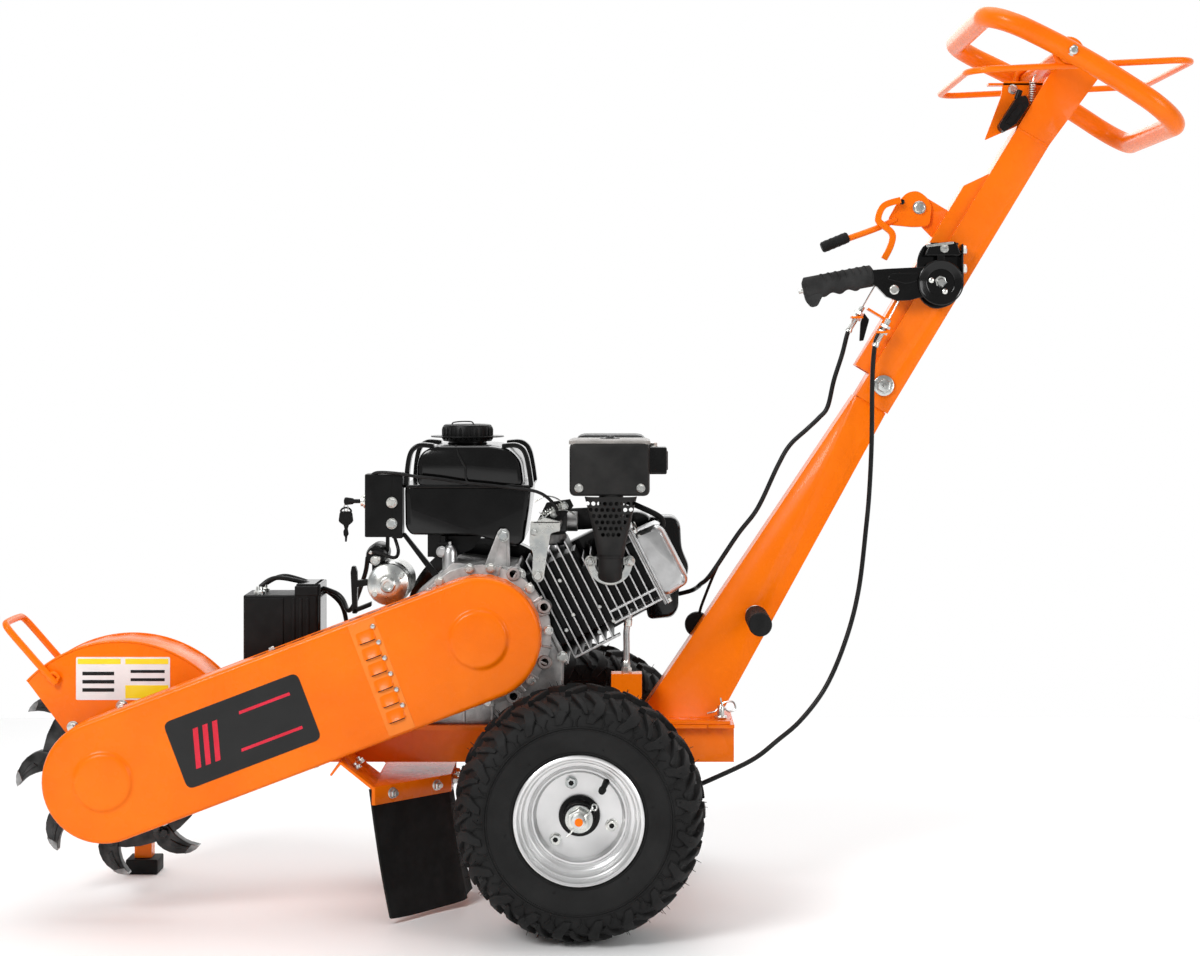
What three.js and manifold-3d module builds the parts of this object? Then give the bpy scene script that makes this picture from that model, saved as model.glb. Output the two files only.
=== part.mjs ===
// Walk-behind stump grinder. Millimetres, +X towards the operator's handlebar, +Y towards the
// recoil-starter side, +Z up. The machine stands on its two tyres and its prop stand at Z = 0.
import * as THREE from 'three';
import { mergeVertices } from 'three/addons/utils/BufferGeometryUtils.js';
import Module from 'manifold-3d';

const wasm = await Module();
wasm.setup();

// ---------------------------------------------------------------- driving dimensions
const GAP = 0.4;                       // clearance between touching pieces

const TYRE_RADIUS = 203;               // 16 x 8-7 tyre
const TYRE_HALF_WIDTH = 101.5;
const WHEEL_Y = 264.5;                 // wheel centre plane, each side of the middle
const AXLE_RADIUS = 12.5;
const RIM_RADIUS = 104;

const CUTTER = { x: -787, z: 235 };    // cutter shaft centre
const CRANK = { x: -168, z: 470 };     // crankshaft centre
const TIP_RADIUS = 190;
const TOOTH_COUNT = 9;
const DISC_RADIUS = 145;
const DISC_Y = [-11, 1];
const SHAFT_RADIUS = 15;
const SHAFT_BORE = SHAFT_RADIUS + GAP;

const COVER_RADIUS = 103;
const COVER_Y = [-190, -131.4];
const BACKPLATE_Y = [-131, -127];
const SHEET = 3;
const CUTTER_PULLEY_RADIUS = 80;       // pitch radii: the crank turns 1.3333 times as fast
const ENGINE_PULLEY_RADIUS = 60;
const PULLEY_Y = [-178, -146];
const BELT_Y = [-172, -152];

const GUARD_RADIUS = 217;
const GUARD_Y = [-62, 52];

const BEAM = { x0: -582.6, x1: 259, halfWidth: 60, z0: 246, z1: 312, wall: 5 };
const ENGINE_PLATE_TOP = 319;
const BATTERY = { x: [-580, -448], y: [-42, 52], z: [372, 547] };
const SWIVEL_X = 165;
const SWIVEL_PIN = { x: 237, y: -46 };
const LOCK_SLOT_DEG = 26;              // the arc slot lets the pin travel this far each way

const CYLINDER_TILT = THREE.MathUtils.degToRad(27);
const FOLD = { x: 516.5, z: 886.8 };   // fold bolt of the mast
const MAST_TILT = THREE.MathUtils.degToRad(58.94);
const MAST_HALF = 31;
const MAST_HALF_Y = 34;
const MAST_WALL = 4;
const LOWER_MAST_HALF_Y = 29.6;
const CROSSBAR = { x: 803, z: 1437, r: 14, halfLength: 199.6 };
const LOOP_RADIUS = 15;
const LOOP_HALF_WIDTH = 215;
const BRAKE_PIVOT = { x: 610, z: 1062 };
const THROTTLE_PIVOT = { x: 581.5, z: 1193.4 };

const GRIP_BAR = { x: 297, z: 493, core: 10, sleeve: 19.5, halfLength: 178 };
const FOLD_BOLT_RADIUS = 8;
const UPPER_MAST = { bottom: -38, weld: 500, top: 640, flare: 44 };

const TANK_NECK = { x: -200, y: 20 };
const KEY = { y: -58, z: 690 };
const EXHAUST = { x: 50, y: -103, r: 21 };
const STARTER = { x: -329, z: 552 };

const STAND = { x: -800, y: 210, half: 15.5 };

// ---------------------------------------------------------------- materials
const paint = (color, roughness, metalness) =>
  new THREE.MeshStandardMaterial({ color, roughness, metalness });
const ORANGE = paint(0xf26a0a, 0.4, 0.1);
const BLACK = paint(0x17181a, 0.5, 0.1);
const BLACK_METAL = paint(0x1c1d20, 0.35, 0.6);
const RUBBER = paint(0x1b1b1c, 0.85, 0);
const TYRE = paint(0x222224, 0.9, 0);
const SILVER = paint(0xc9cbce, 0.35, 0.8);
const STEEL = paint(0xa9abae, 0.35, 0.9);
const ALUMINIUM = paint(0xb4b6b8, 0.5, 0.8);
const IRON = paint(0x2b2c2e, 0.6, 0.5);

// ---------------------------------------------------------------- solids
// A closed three.js geometry as a manifold solid, whichever way its faces point.
function solid(geometry) {
  const bare = geometry.index ? geometry.clone() : geometry;
  bare.deleteAttribute('normal');
  bare.deleteAttribute('uv');
  const merged = mergeVertices(bare, 1e-3);
  const position = merged.attributes.position;
  const index = merged.index.array;
  const a = new THREE.Vector3(), b = new THREE.Vector3(), c = new THREE.Vector3();
  let volume = 0;
  for (let i = 0; i < index.length; i += 3) {
    a.fromBufferAttribute(position, index[i]);
    b.fromBufferAttribute(position, index[i + 1]);
    c.fromBufferAttribute(position, index[i + 2]);
    volume += a.dot(b.cross(c));
  }
  const triVerts = Uint32Array.from(index);
  if (volume < 0) {
    for (let i = 0; i < triVerts.length; i += 3) {
      [triVerts[i], triVerts[i + 1]] = [triVerts[i + 1], triVerts[i]];
    }
  }
  const vertProperties = Float32Array.from(position.array);
  return new wasm.Manifold(new wasm.Mesh({ numProp: 3, vertProperties, triVerts }));
}

const join = (...solids) => solids.reduce((whole, piece) => whole.add(piece));
const cut = (whole, ...tools) => tools.reduce((rest, tool) => rest.subtract(tool), whole);

function box([x0, x1], [y0, y1], [z0, z1]) {
  const geometry = new THREE.BoxGeometry(x1 - x0, y1 - y0, z1 - z0);
  return solid(geometry.translate((x0 + x1) / 2, (y0 + y1) / 2, (z0 + z1) / 2));
}

// Round bar along Y, Z or X, through a centre given in the two other axes.
function barY(centre, r, [y0, y1], sides = 24) {
  const geometry = new THREE.CylinderGeometry(r, r, y1 - y0, sides);
  return solid(geometry.translate(centre.x, (y0 + y1) / 2, centre.z));
}

function barZ(centre, r, [z0, z1], sides = 24) {
  const geometry = new THREE.CylinderGeometry(r, r, z1 - z0, sides).rotateX(Math.PI / 2);
  return solid(geometry.translate(centre.x, centre.y, (z0 + z1) / 2));
}

// Round bar, or cone frustum, between two points.
function rod(from, to, r0, r1 = r0, sides = 12) {
  const start = new THREE.Vector3(...from);
  const along = new THREE.Vector3(...to).sub(start);
  const geometry = new THREE.CylinderGeometry(r1, r0, along.length(), sides);
  geometry.translate(0, along.length() / 2, 0);
  const turn = new THREE.Quaternion().setFromUnitVectors(new THREE.Vector3(0, 1, 0), along.normalize());
  return solid(geometry.applyQuaternion(turn).translate(...from));
}

const shapeOf = (points) => new THREE.Shape(points.map(([x, z]) => new THREE.Vector2(x, z)));

// Plate whose outline lies in the XZ plane, between two Y values.
function plateXZ(outline, [y0, y1]) {
  const shape = Array.isArray(outline) ? shapeOf(outline) : outline;
  const geometry = new THREE.ExtrudeGeometry(shape, { depth: y1 - y0, bevelEnabled: false, curveSegments: 12 });
  return solid(geometry.rotateX(Math.PI / 2).translate(0, y1, 0));
}

// Plate whose outline lies in the XY plane, between two Z values.
function plateXY(points, [z0, z1]) {
  const geometry = new THREE.ExtrudeGeometry(shapeOf(points), { depth: z1 - z0, bevelEnabled: false });
  return solid(geometry.translate(0, 0, z0));
}

// Ring or disc turned about an axis along Y. The profile is [radius, y] pairs.
function turned(centre, profile, segments = 32) {
  const points = profile.map(([r, y]) => new THREE.Vector2(r, y));
  return solid(new THREE.LatheGeometry(points, segments).translate(centre.x, 0, centre.z));
}

// Round bar swept along points, open with flat ends or closed into a loop.
function swept(points, r, steps, sides, closed = false) {
  const path = new THREE.CatmullRomCurve3(points.map((p) => new THREE.Vector3(...p)), closed, 'centripetal');
  if (closed) return solid(new THREE.TubeGeometry(path, steps, r, sides, true));
  const section = new THREE.Shape();
  section.absarc(0, 0, r, 0, 2 * Math.PI);
  const options = { extrudePath: path, steps, bevelEnabled: false, curveSegments: sides / 2 };
  return solid(new THREE.ExtrudeGeometry(section, options));
}

// Points of an arc, in degrees, about a centre in the XZ plane.
function arc(centre, r, from, to, count) {
  return Array.from({ length: count + 1 }, (_, i) => {
    const angle = THREE.MathUtils.degToRad(from + ((to - from) * i) / count);
    return [centre.x + r * Math.cos(angle), centre.z + r * Math.sin(angle)];
  });
}

// Outline round two circles and their outer tangents, as a belt lies on two pulleys.
function beltOutline(a, ra, b, rb, count = 12) {
  const span = Math.hypot(b.x - a.x, b.z - a.z);
  const line = THREE.MathUtils.radToDeg(Math.atan2(b.z - a.z, b.x - a.x));
  const lean = THREE.MathUtils.radToDeg(Math.asin((ra - rb) / span));
  const upper = line + 90 - lean;
  const lower = line - 90 + lean;
  return [...arc(a, ra, upper, lower + 360, count), ...arc(b, rb, lower, upper, count)];
}

// A point given along the cylinder axis (u) and square to it (v).
function onCylinder(u, v) {
  const [cos, sin] = [Math.cos(CYLINDER_TILT), Math.sin(CYLINDER_TILT)];
  return [CRANK.x + u * cos - v * sin, CRANK.z + u * sin + v * cos];
}

// A point given along the mast (s) from the fold bolt and forward of its middle (t).
function onMast(s, t) {
  const [cos, sin] = [Math.cos(MAST_TILT), Math.sin(MAST_TILT)];
  return [FOLD.x + s * cos - t * sin, FOLD.z + s * sin + t * cos];
}

const model = new THREE.Group();

function add(name, material, body) {
  const mesh = body.getMesh();
  const geometry = new THREE.BufferGeometry();
  geometry.setAttribute('position', new THREE.BufferAttribute(mesh.vertProperties, 3));
  geometry.setIndex(new THREE.BufferAttribute(mesh.triVerts, 1));
  const piece = new THREE.Mesh(geometry, material);
  piece.name = name;
  model.add(piece);
}

// ---------------------------------------------------------------- chassis
function chassisBeam() {
  const { x0, x1, halfWidth, z0, z1, wall } = BEAM;
  const outer = box([x0, x1], [-halfWidth, halfWidth], [z0, z1]);
  const inner = box([x0 - 1, x1 + 1], [wall - halfWidth, halfWidth - wall], [z0 + wall, z1 - wall]);
  const enginePlate = box([-312, -18], [-126, 130], [z1 - 1, ENGINE_PLATE_TOP]);
  const turntable = box([84, x1], [-78, 78], [z1 - 6, z1]);
  const tray = box([-588, -440], [-55, 65], [364, BATTERY.z[0] - GAP]);
  const posts = [-575, -470].map((x) => box([x, x + 20], [-40, 40], [z1 - 1, 365]));
  const pivot = { x: SWIVEL_X, z: 0 };
  const reach = Math.hypot(SWIVEL_PIN.x - SWIVEL_X, SWIVEL_PIN.y);
  const rest = THREE.MathUtils.radToDeg(Math.atan2(SWIVEL_PIN.y, SWIVEL_PIN.x - SWIVEL_X));
  const [from, to] = [rest - LOCK_SLOT_DEG, rest + LOCK_SLOT_DEG];
  const ring = [...arc(pivot, reach + 7, from, to, 8), ...arc(pivot, reach - 7, to, from, 8)];
  const slot = plateXY(ring, [z1 - 7, z1 + 1]);
  return cut(join(cut(outer, inner), enginePlate, turntable, tray, ...posts), slot);
}

function axleTube() {
  const tube = box([-30, 30], [-140, 140], [173, BEAM.z0 - GAP]);
  return cut(tube, barY({ x: 0, z: TYRE_RADIUS }, AXLE_RADIUS + GAP, [-141, 141]));
}

function axleShaft() {
  const centre = { x: 0, z: TYRE_RADIUS };
  const nuts = [-1, 1].map((side) => barY(centre, 19, side < 0 ? [-352, -338] : [338, 352], 6));
  return join(barY(centre, AXLE_RADIUS, [-360, 360]), ...nuts);
}

function brakeBand() {
  const centre = { x: 0, z: TYRE_RADIUS };
  const ring = [...arc(centre, 68, 215, -35, 16), ...arc(centre, 64.5, -35, 215, 16)];
  const band = plateXZ(ring, [-160, -144.4]);
  const anchor = box([-12, 12], [-160, -140.4], [TYRE_RADIUS + 60, TYRE_RADIUS + 84]);
  const drumRoom = barY(centre, 64.2, [-161, -139], 32);
  const lever = box([38, 74], [-152, -146], [150, 172]);
  return cut(join(band, anchor, lever), drumRoom);
}

// Swept-back plan of the deflector behind the cutter; the rubber flap hangs inside its rim.
const DEFLECTOR_PLAN = [[-345, -185], [-339, -185], [-222, -62], [-222, 62], [-339, 185], [-345, 185]];

function deflectorPlate() {
  const floor = plateXY(DEFLECTOR_PLAN, [222, 226]);
  const wing = [[-414, 246], [-396, 268], [-341, 226], [-341, 222], [-345, 222], [-396, 263], [-411, 244]];
  const wings = [[-185, -60 - GAP], [60 + GAP, 185]].map((span) => plateXZ(wing, span));
  const rim = [...DEFLECTOR_PLAN, [-226, 60], [-226, -60]];
  const flange = plateXY(rim, [196, 223]);
  return join(floor, flange, ...wings);
}

function rubberFlap() {
  const outer = [[-346, -182], [-230, -58], [-230, 58], [-346, 182], [-351, 178], [-235.5, 56],
    [-235.5, -56], [-351, -178]];
  return plateXY(outer, [10, 221.6]);
}

// ---------------------------------------------------------------- cutter and its guard
function cutterGuard() {
  const outline = [
    ...arc(CUTTER, GUARD_RADIUS, 20, 136.6, 10), [-880, 298], ...arc(CUTTER, 64, 160, 350, 6),
    [-650, BEAM.z0], [-583, BEAM.z0], [-583, 312],
  ];
  const [y0, y1] = GUARD_Y;
  const sides = [[y0, y0 + 4], [y1 - 4, y1]].map((span) => plateXZ(outline, span));
  const strip = [...arc(CUTTER, GUARD_RADIUS, 20, 136.6, 10), ...arc(CUTTER, GUARD_RADIUS - 4, 136.6, 20, 10)];
  const roof = plateXZ(strip, [y0 + 1, y1 - 1]);
  const back = box([-587, -583], [y0 + 1, y1 - 1], [BEAM.z0 + 4, 316]);
  return cut(join(...sides, roof, back), barY(CUTTER, 24, [y0 - 1, y1 + 1]));
}

function liftHandle() {
  const near = GUARD_Y[0] - 6 - GAP;
  const far = GUARD_Y[1] + 6 + GAP;
  const root = [-893, 380];
  const top = [-982, 481];
  const points = [[root[0], near, root[1]], [-925, near, 415.5], [-962, near, 458], [top[0], near + 14, top[1]],
    [top[0] - 2, (near + far) / 2, top[1] + 2], [top[0], far - 14, top[1]], [-962, far, 458],
    [-925, far, 415.5], [root[0], far, root[1]]];
  return swept(points, 6, 22, 8);
}

function flangeBearing([y0, y1], flangeAt) {
  const housing = barY(CUTTER, 40, [y0, y1]);
  const flange = barY(CUTTER, 56, flangeAt, 4);
  return cut(join(housing, flange), barY(CUTTER, SHAFT_BORE, [y0 - 1, y1 + 1]));
}

function cutterDisc() {
  const disc = barY(CUTTER, DISC_RADIUS, DISC_Y, 36);
  const hub = barY(CUTTER, 34, [-35, 25], 20);
  return cut(join(disc, hub), barY(CUTTER, SHAFT_BORE, [-40, 30]));
}

// A bolted claw: two cheeks hold the disc's rim and the hooked tip stands beyond it.
function cutterTooth(angle) {
  const claw = [[112, -14], [112, 12], [140, 18], [160, 24], [176, 34], [184, 45], [186, 26], [178, 4],
    [162, -12], [146, -18]];
  const [cos, sin] = [Math.cos(angle), Math.sin(angle)];
  const outline = claw.map(([r, q]) => [CUTTER.x + r * cos - q * sin, CUTTER.z + r * sin + q * cos]);
  const slot = barY(CUTTER, DISC_RADIUS + GAP, [DISC_Y[0] - GAP, DISC_Y[1] + GAP], 36);
  return cut(plateXZ(outline, [-16, 6]), slot);
}

function groovedPulley(centre, radius, bore) {
  const [y0, y1] = PULLEY_Y;
  const floor = radius - 4.5;
  const rim = radius + 3;
  const profile = [[bore, y0], [rim, y0], [rim, BELT_Y[0] - 1], [floor, BELT_Y[0] - 1],
    [floor, BELT_Y[1] + 1], [rim, BELT_Y[1] + 1], [rim, y1], [bore, y1], [bore, y0]];
  return turned(centre, profile, 24);
}

// ---------------------------------------------------------------- belt drive
function beltCover() {
  const [y0, y1] = COVER_Y;
  const outer = plateXZ(beltOutline(CUTTER, COVER_RADIUS, CRANK, COVER_RADIUS), [y0, y1]);
  const innerRadius = COVER_RADIUS - SHEET;
  const hollow = plateXZ(beltOutline(CUTTER, innerRadius, CRANK, innerRadius), [y0 + SHEET, y1 + 1]);
  const bosses = [CUTTER, CRANK].map((centre) =>
    turned(centre, [[0, y0 + 1], [48, y0 + 1], [48, y0 - 1], [43, y0 - 6], [0, y0 - 6]], 24));
  return join(cut(outer, hollow), ...bosses);
}

function beltBackplate() {
  const plate = plateXZ(beltOutline(CUTTER, COVER_RADIUS, CRANK, COVER_RADIUS), BACKPLATE_Y);
  const holes = [barY(CUTTER, 24, [-135, -120]), barY(CRANK, 30, [-135, -120])];
  return cut(plate, ...holes);
}

function driveBelt() {
  const lie = (extra) => beltOutline(CUTTER, CUTTER_PULLEY_RADIUS + extra, CRANK, ENGINE_PULLEY_RADIUS + extra);
  const inside = plateXZ(lie(-3.5), [BELT_Y[0] - 1, BELT_Y[1] + 1]);
  return cut(plateXZ(lie(4), BELT_Y), inside);
}

// ---------------------------------------------------------------- engine
function crankcase() {
  const foot = ENGINE_PLATE_TOP + GAP;
  const outline = [[-300, foot], [-35, foot], onCylinder(100 - GAP, -100), onCylinder(100 - GAP, 75),
    [-215, 590], [-285, 530], [-300, 430]];
  const flange = barY(CRANK, 118, [-126, -111], 28);
  return join(plateXZ(outline, [-112, 90]), flange);
}

function cylinderBlock() {
  const barrel = [onCylinder(100, -80), onCylinder(300, -80), onCylinder(300, 20), onCylinder(100, 20)];
  const fins = Array.from({ length: 15 }, (_, i) => {
    const u = 100 + i * 13.8;
    const top = u < 200 ? 75 : 35;
    const fin = [onCylinder(u, -112), onCylinder(u + 6, -112), onCylinder(u + 6, top), onCylinder(u, top)];
    return plateXZ(fin, [-80, 78]);
  });
  return join(plateXZ(barrel, [-62, 62]), ...fins);
}

function valveCover() {
  const outline = [onCylinder(300 + GAP, -95), onCylinder(340, -90), onCylinder(352, -76), onCylinder(352, 14),
    onCylinder(340, 30), onCylinder(300 + GAP, 34)];
  return plateXZ(outline, [-66, 64]);
}

function blowerHousing() {
  const lobe = [onCylinder(0, -120), onCylinder(320, -112), onCylinder(338, -95), onCylinder(338, 45),
    onCylinder(320, 60), onCylinder(0, 60)];
  const drum = barY(CRANK, 146, [90 + GAP, 150], 32);
  const cap = barY(CRANK, 92, [149, 168], 28);
  return join(drum, plateXZ(lobe, [90 + GAP, 138]), cap);
}

function muffler() {
  const body = box([-20, 116], [-125, -5], [702, 797]);
  const outlet = box([115, 145], [-105, -55], [738, 786]);
  const port = onCylinder(235, -15);
  const { x, y, r } = EXHAUST;
  const pipe = rod([x, y, 703], [port[0], y, 560], r, r, 16);
  const flange = box([port[0] - 44, port[0] + 44], [-86, -80 - GAP], [545, 580]);
  return join(body, outlet, pipe, flange);
}

function heatGuard() {
  const face = plateXZ([[6, 701], [93, 701], [73, 604], [29, 604]], [-129, -126.5]);
  const cheeks = [[[6, 701], [9, 701], [32, 604], [29, 604]], [[90, 701], [93, 701], [73, 604], [70, 604]]]
    .map((outline) => plateXZ(outline, [-129, -100]));
  const { x, y, r } = EXHAUST;
  const pipeRoom = rod([x, y, 710], [x - 1.8, y, 560], r + 2 * GAP, r + 2 * GAP, 16);
  return cut(join(face, ...cheeks), pipeRoom);
}

function fuelTank() {
  const outline = [[-300, 640], [-292, 632], [-180, 632], [-110, 612], [-96, 622], [-84, 700], [-88, 772],
    [-100, 786], [-290, 786], [-302, 772]];
  const neck = barZ(TANK_NECK, 33, [780, 804], 20);
  return join(plateXZ(outline, [-75, 140]), neck);
}

function fuelCap() {
  const profile = [[0, 806], [37, 806], [37, 790], [43, 790], [43, 815], [38, 819], [0, 819]];
  const points = profile.map(([r, z]) => new THREE.Vector2(r, z));
  const geometry = new THREE.LatheGeometry(points, 24).rotateX(Math.PI / 2);
  return solid(geometry.translate(TANK_NECK.x, TANK_NECK.y, 0));
}

function airCleaner() {
  const canister = box([-14, 112], [15, 140], [700, 800]);
  const elbow = box([25, 80], [28, 80], [640, 701]);
  return join(canister, elbow);
}

function starterMotor() {
  const solenoid = barY({ x: -352, z: 600 }, 18, [-90, 0]);
  const saddle = box([-358, -336], [-80, -10], [570, 590]);
  return join(barY(STARTER, 36, [-104, 20]), barY(STARTER, 30, [-116, -103]), solenoid, saddle);
}

function switchBox() {
  const casing = box([-368, -308], [-78, -40], [630, 737]);
  const lock = rod([-376, KEY.y, KEY.z], [-367, KEY.y, KEY.z], 12, 12, 16);
  return join(casing, lock);
}

function ignitionKey() {
  const shank = rod([-388, KEY.y, KEY.z], [-376 - GAP, KEY.y, KEY.z], 4, 4, 8);
  const head = box([-404, -387], [KEY.y - 2, KEY.y + 2], [KEY.z - 10, KEY.z + 10]);
  return join(shank, head);
}

function recoilGrip() {
  const bar = rod([-122, 161, 590], [-78, 161, 590], 10, 10, 12);
  return join(bar, rod([-105, 158, 575], [-100, 161, 590], 6, 6, 8));
}

// ---------------------------------------------------------------- wheels
const side = (sign, profile) => profile.map(([r, y]) => [r, sign * (WHEEL_Y + y)]);
const WHEEL_CENTRE = { x: 0, z: TYRE_RADIUS };

function tyre(sign) {
  const w = TYRE_HALF_WIDTH;
  const profile = [[98, -76], [104, -84], [126, -96], [150, -w], [178, -95], [194, -74], [TYRE_RADIUS, -30],
    [TYRE_RADIUS, 30], [194, 74], [178, 95], [150, w], [126, 96], [104, 84], [98, 76], [150, 88],
    [188, 50], [188, -50], [150, -88], [98, -76]];
  return turned(WHEEL_CENTRE, side(sign, profile), 28);
}

function wheel(sign) {
  const bore = AXLE_RADIUS + GAP;
  const section = [[bore, 66], [24, 66], [24, 35], [70, 31], [80, 42], [88, 85], [RIM_RADIUS, 88],
    [RIM_RADIUS, 85], [95, 78], [95, -78], [RIM_RADIUS, -85], [RIM_RADIUS, -88], [90, -82], [88, 30],
    [62, 26], [62, -102], [56, -102], [56, 22], [24, 25], [24, -98], [bore, -98], [bore, 66]];
  return turned(WHEEL_CENTRE, side(sign, section), 28);
}

// ---------------------------------------------------------------- prop stand
function standArm() {
  const { x, y } = STAND;
  const sleeve = box([x - 20, x + 20], [y - 20, y + 20], [200, 296]);
  const room = box([x - 16, x + 16], [y - 16, y + 16], [190, 300]);
  const arm = box([x - 18, x + 18], [GUARD_Y[1] + GAP, y - 19], [258, 296]);
  const bearingRoom = barY(CUTTER, 58, [GUARD_Y[1], 95]);
  return cut(join(sleeve, arm), room, bearingRoom);
}

// ---------------------------------------------------------------- mast
function lowerMast() {
  const span = [-LOWER_MAST_HALF_Y, LOWER_MAST_HALF_Y];
  const shoulder = -MAST_HALF - 8;
  const tongueTop = arc(FOLD, 26, 58.94 - 90, 58.94 + 90, 8);
  const outline = [[95, 317], [235, 317], onMast(shoulder, -28.6), onMast(shoulder, -26), ...tongueTop,
    onMast(shoulder, 26), onMast(shoulder, 33.7)];
  const body = plateXZ(outline, span);
  const hollow = plateXZ([[104, 300], [226, 300], [226, 317], onMast(-50, -24.4), onMast(-50, 29), [104, 317]],
    [MAST_WALL - LOWER_MAST_HALF_Y, LOWER_MAST_HALF_Y - MAST_WALL]);
  const base = box([84, 252], [-76, 76], [BEAM.z1 + GAP, 318]);
  const pinHole = barZ(SWIVEL_PIN, 6.5, [300, 330]);
  const boltHole = barY(FOLD, FOLD_BOLT_RADIUS + GAP, [-40, 40]);
  const barHole = barY(GRIP_BAR, GRIP_BAR.core + GAP, [-40, 40]);
  return cut(join(body, base), hollow, pinHole, boltHole, barHole);
}

function swivelPin() {
  return join(barZ(SWIVEL_PIN, 6, [306.5, 340], 12), barZ(SWIVEL_PIN, 11, [318 + GAP, 323], 12));
}

function gripBar() {
  const { core, sleeve, halfLength } = GRIP_BAR;
  const sleeves = [[-halfLength, -62], [62, halfLength]].map((span) => barY(GRIP_BAR, sleeve, span, 20));
  return join(barY(GRIP_BAR, core, [-176, 176], 16), ...sleeves);
}

function upperMast() {
  const { bottom, weld, top, flare } = UPPER_MAST;
  const insideY = [MAST_WALL - MAST_HALF_Y, MAST_HALF_Y - MAST_WALL];
  const inset = MAST_HALF - MAST_WALL;
  const outline = [onMast(bottom, -MAST_HALF), onMast(bottom, MAST_HALF), onMast(top, MAST_HALF),
    onMast(top, -flare), onMast(weld, -MAST_HALF)];
  const inner = [onMast(bottom - 20, -inset), onMast(bottom - 20, inset), onMast(top - 6, inset),
    onMast(top - 6, 5 - flare), onMast(weld, -inset)];
  const rearSlot = [onMast(-60, -60), onMast(-60, 0), onMast(46, 0), onMast(46, -60)];
  const tube = cut(plateXZ(outline, [-MAST_HALF_Y, MAST_HALF_Y]), plateXZ(inner, insideY),
    plateXZ(rearSlot, insideY));
  const crossbar = barY(CROSSBAR, CROSSBAR.r, [-CROSSBAR.halfLength, CROSSBAR.halfLength], 20);
  const bracket = plateXZ([onMast(262, 50), onMast(318, 50), onMast(318, 112), onMast(290, 116),
    onMast(276, 104)], [-2, 2]);
  const throttleBolt = barY(THROTTLE_PIVOT, 6, [-14, 0], 12);
  const cableTab = plateXZ([onMast(98, 56), onMast(98, 90), onMast(102, 90), onMast(102, 56)], [-24, -2]);
  const boltHole = barY(FOLD, FOLD_BOLT_RADIUS + GAP, [-50, 50]);
  return cut(join(tube, mastRail(), crossbar, bracket, throttleBolt, cableTab), boltHole);
}

// Folded channel welded along the front of the upper mast, open at its lower end.
function mastRail() {
  const rail = plateXZ([onMast(6, 30), onMast(6, 58), onMast(366, 58), onMast(408, 30)], [-25, 25]);
  const hollow = plateXZ([onMast(0, MAST_HALF), onMast(0, 54), onMast(364, 54), onMast(400, MAST_HALF)],
    [-21, 21]);
  return cut(rail, hollow);
}

function foldBolt() {
  return join(barY(FOLD, FOLD_BOLT_RADIUS, [-44, 44], 16), barY(FOLD, 18, [-40, -MAST_HALF_Y - GAP], 24),
    barY(FOLD, 18, [MAST_HALF_Y + GAP, 40], 24), barY(FOLD, 12, [-46, -39], 6));
}

// Rounded rectangle in plan, its height given by a function of X, swept as a closed loop.
function loop([x0, x1], halfWidth, corner, height, r, steps, sides) {
  const corners = [[x1 - corner, corner - halfWidth, -90], [x1 - corner, halfWidth - corner, 0],
    [x0 + corner, halfWidth - corner, 90], [x0 + corner, corner - halfWidth, 180]];
  const points = corners.flatMap(([x, y, from]) =>
    arc({ x, z: y }, corner, from, from + 90, 4).map(([px, py]) => [px, py, height(px)]));
  return swept(points, r, steps, sides, true);
}

function handlebar() {
  const height = (x) => 1437 - 0.545 * (x - CROSSBAR.x) - 0.00051 * (x - CROSSBAR.x) ** 2;
  return loop([666, 981], LOOP_HALF_WIDTH, 60, height, LOOP_RADIUS, 44, 8);
}

function bail() {
  const height = (x) => 1407.6 + 0.0483 * (x - 635);
  const rods = loop([638, 1011], 190, 42, height, 5.5, 40, 6);
  const lugs = [[-192.5, -187.5], [187.5, 192.5]].map((span) =>
    plateXZ([...arc(CROSSBAR, 21, -20, 200, 12), [CROSSBAR.x - 14, 1413], [CROSSBAR.x + 14, 1414]], span));
  return cut(join(rods, ...lugs), barY(CROSSBAR, CROSSBAR.r + GAP, [-196, 196], 20));
}

function throttleLever() {
  const { x, z } = THROTTLE_PIVOT;
  const quadrant = plateXZ([[x + 18, z - 32], [x + 22, z + 4], [x + 12, z + 20], [x - 4, z + 30], [x - 22, z + 26],
    [x - 40, z + 6], [x - 54, z - 20], [x - 50, z - 30], [x - 10, z - 34]], [-8, -2 - GAP]);
  const arm = rod([x - 44, -5.2, z - 24], [415, -18, 1125], 5.5, 5.5, 10);
  const grip = rod([458, -14.7, 1142.6], [412, -18.3, 1123.6], 10, 10, 12);
  return cut(join(quadrant, arm, grip), barY(THROTTLE_PIVOT, 6 + GAP, [-20, 0], 12));
}

function brakeBracket() {
  const back = plateXZ([onMast(150, -34), onMast(170, 30), onMast(236, 34), onMast(262, -22), onMast(248, -34)],
    [-40, -MAST_HALF_Y - GAP]);
  const drum = barY(BRAKE_PIVOT, 40, [-42, -39], 28);
  const pin = barY(BRAKE_PIVOT, 8, [-76, -41], 16);
  const washer = barY(BRAKE_PIVOT, 14, [-79, -75], 16);
  return join(back, drum, pin, washer);
}

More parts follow.
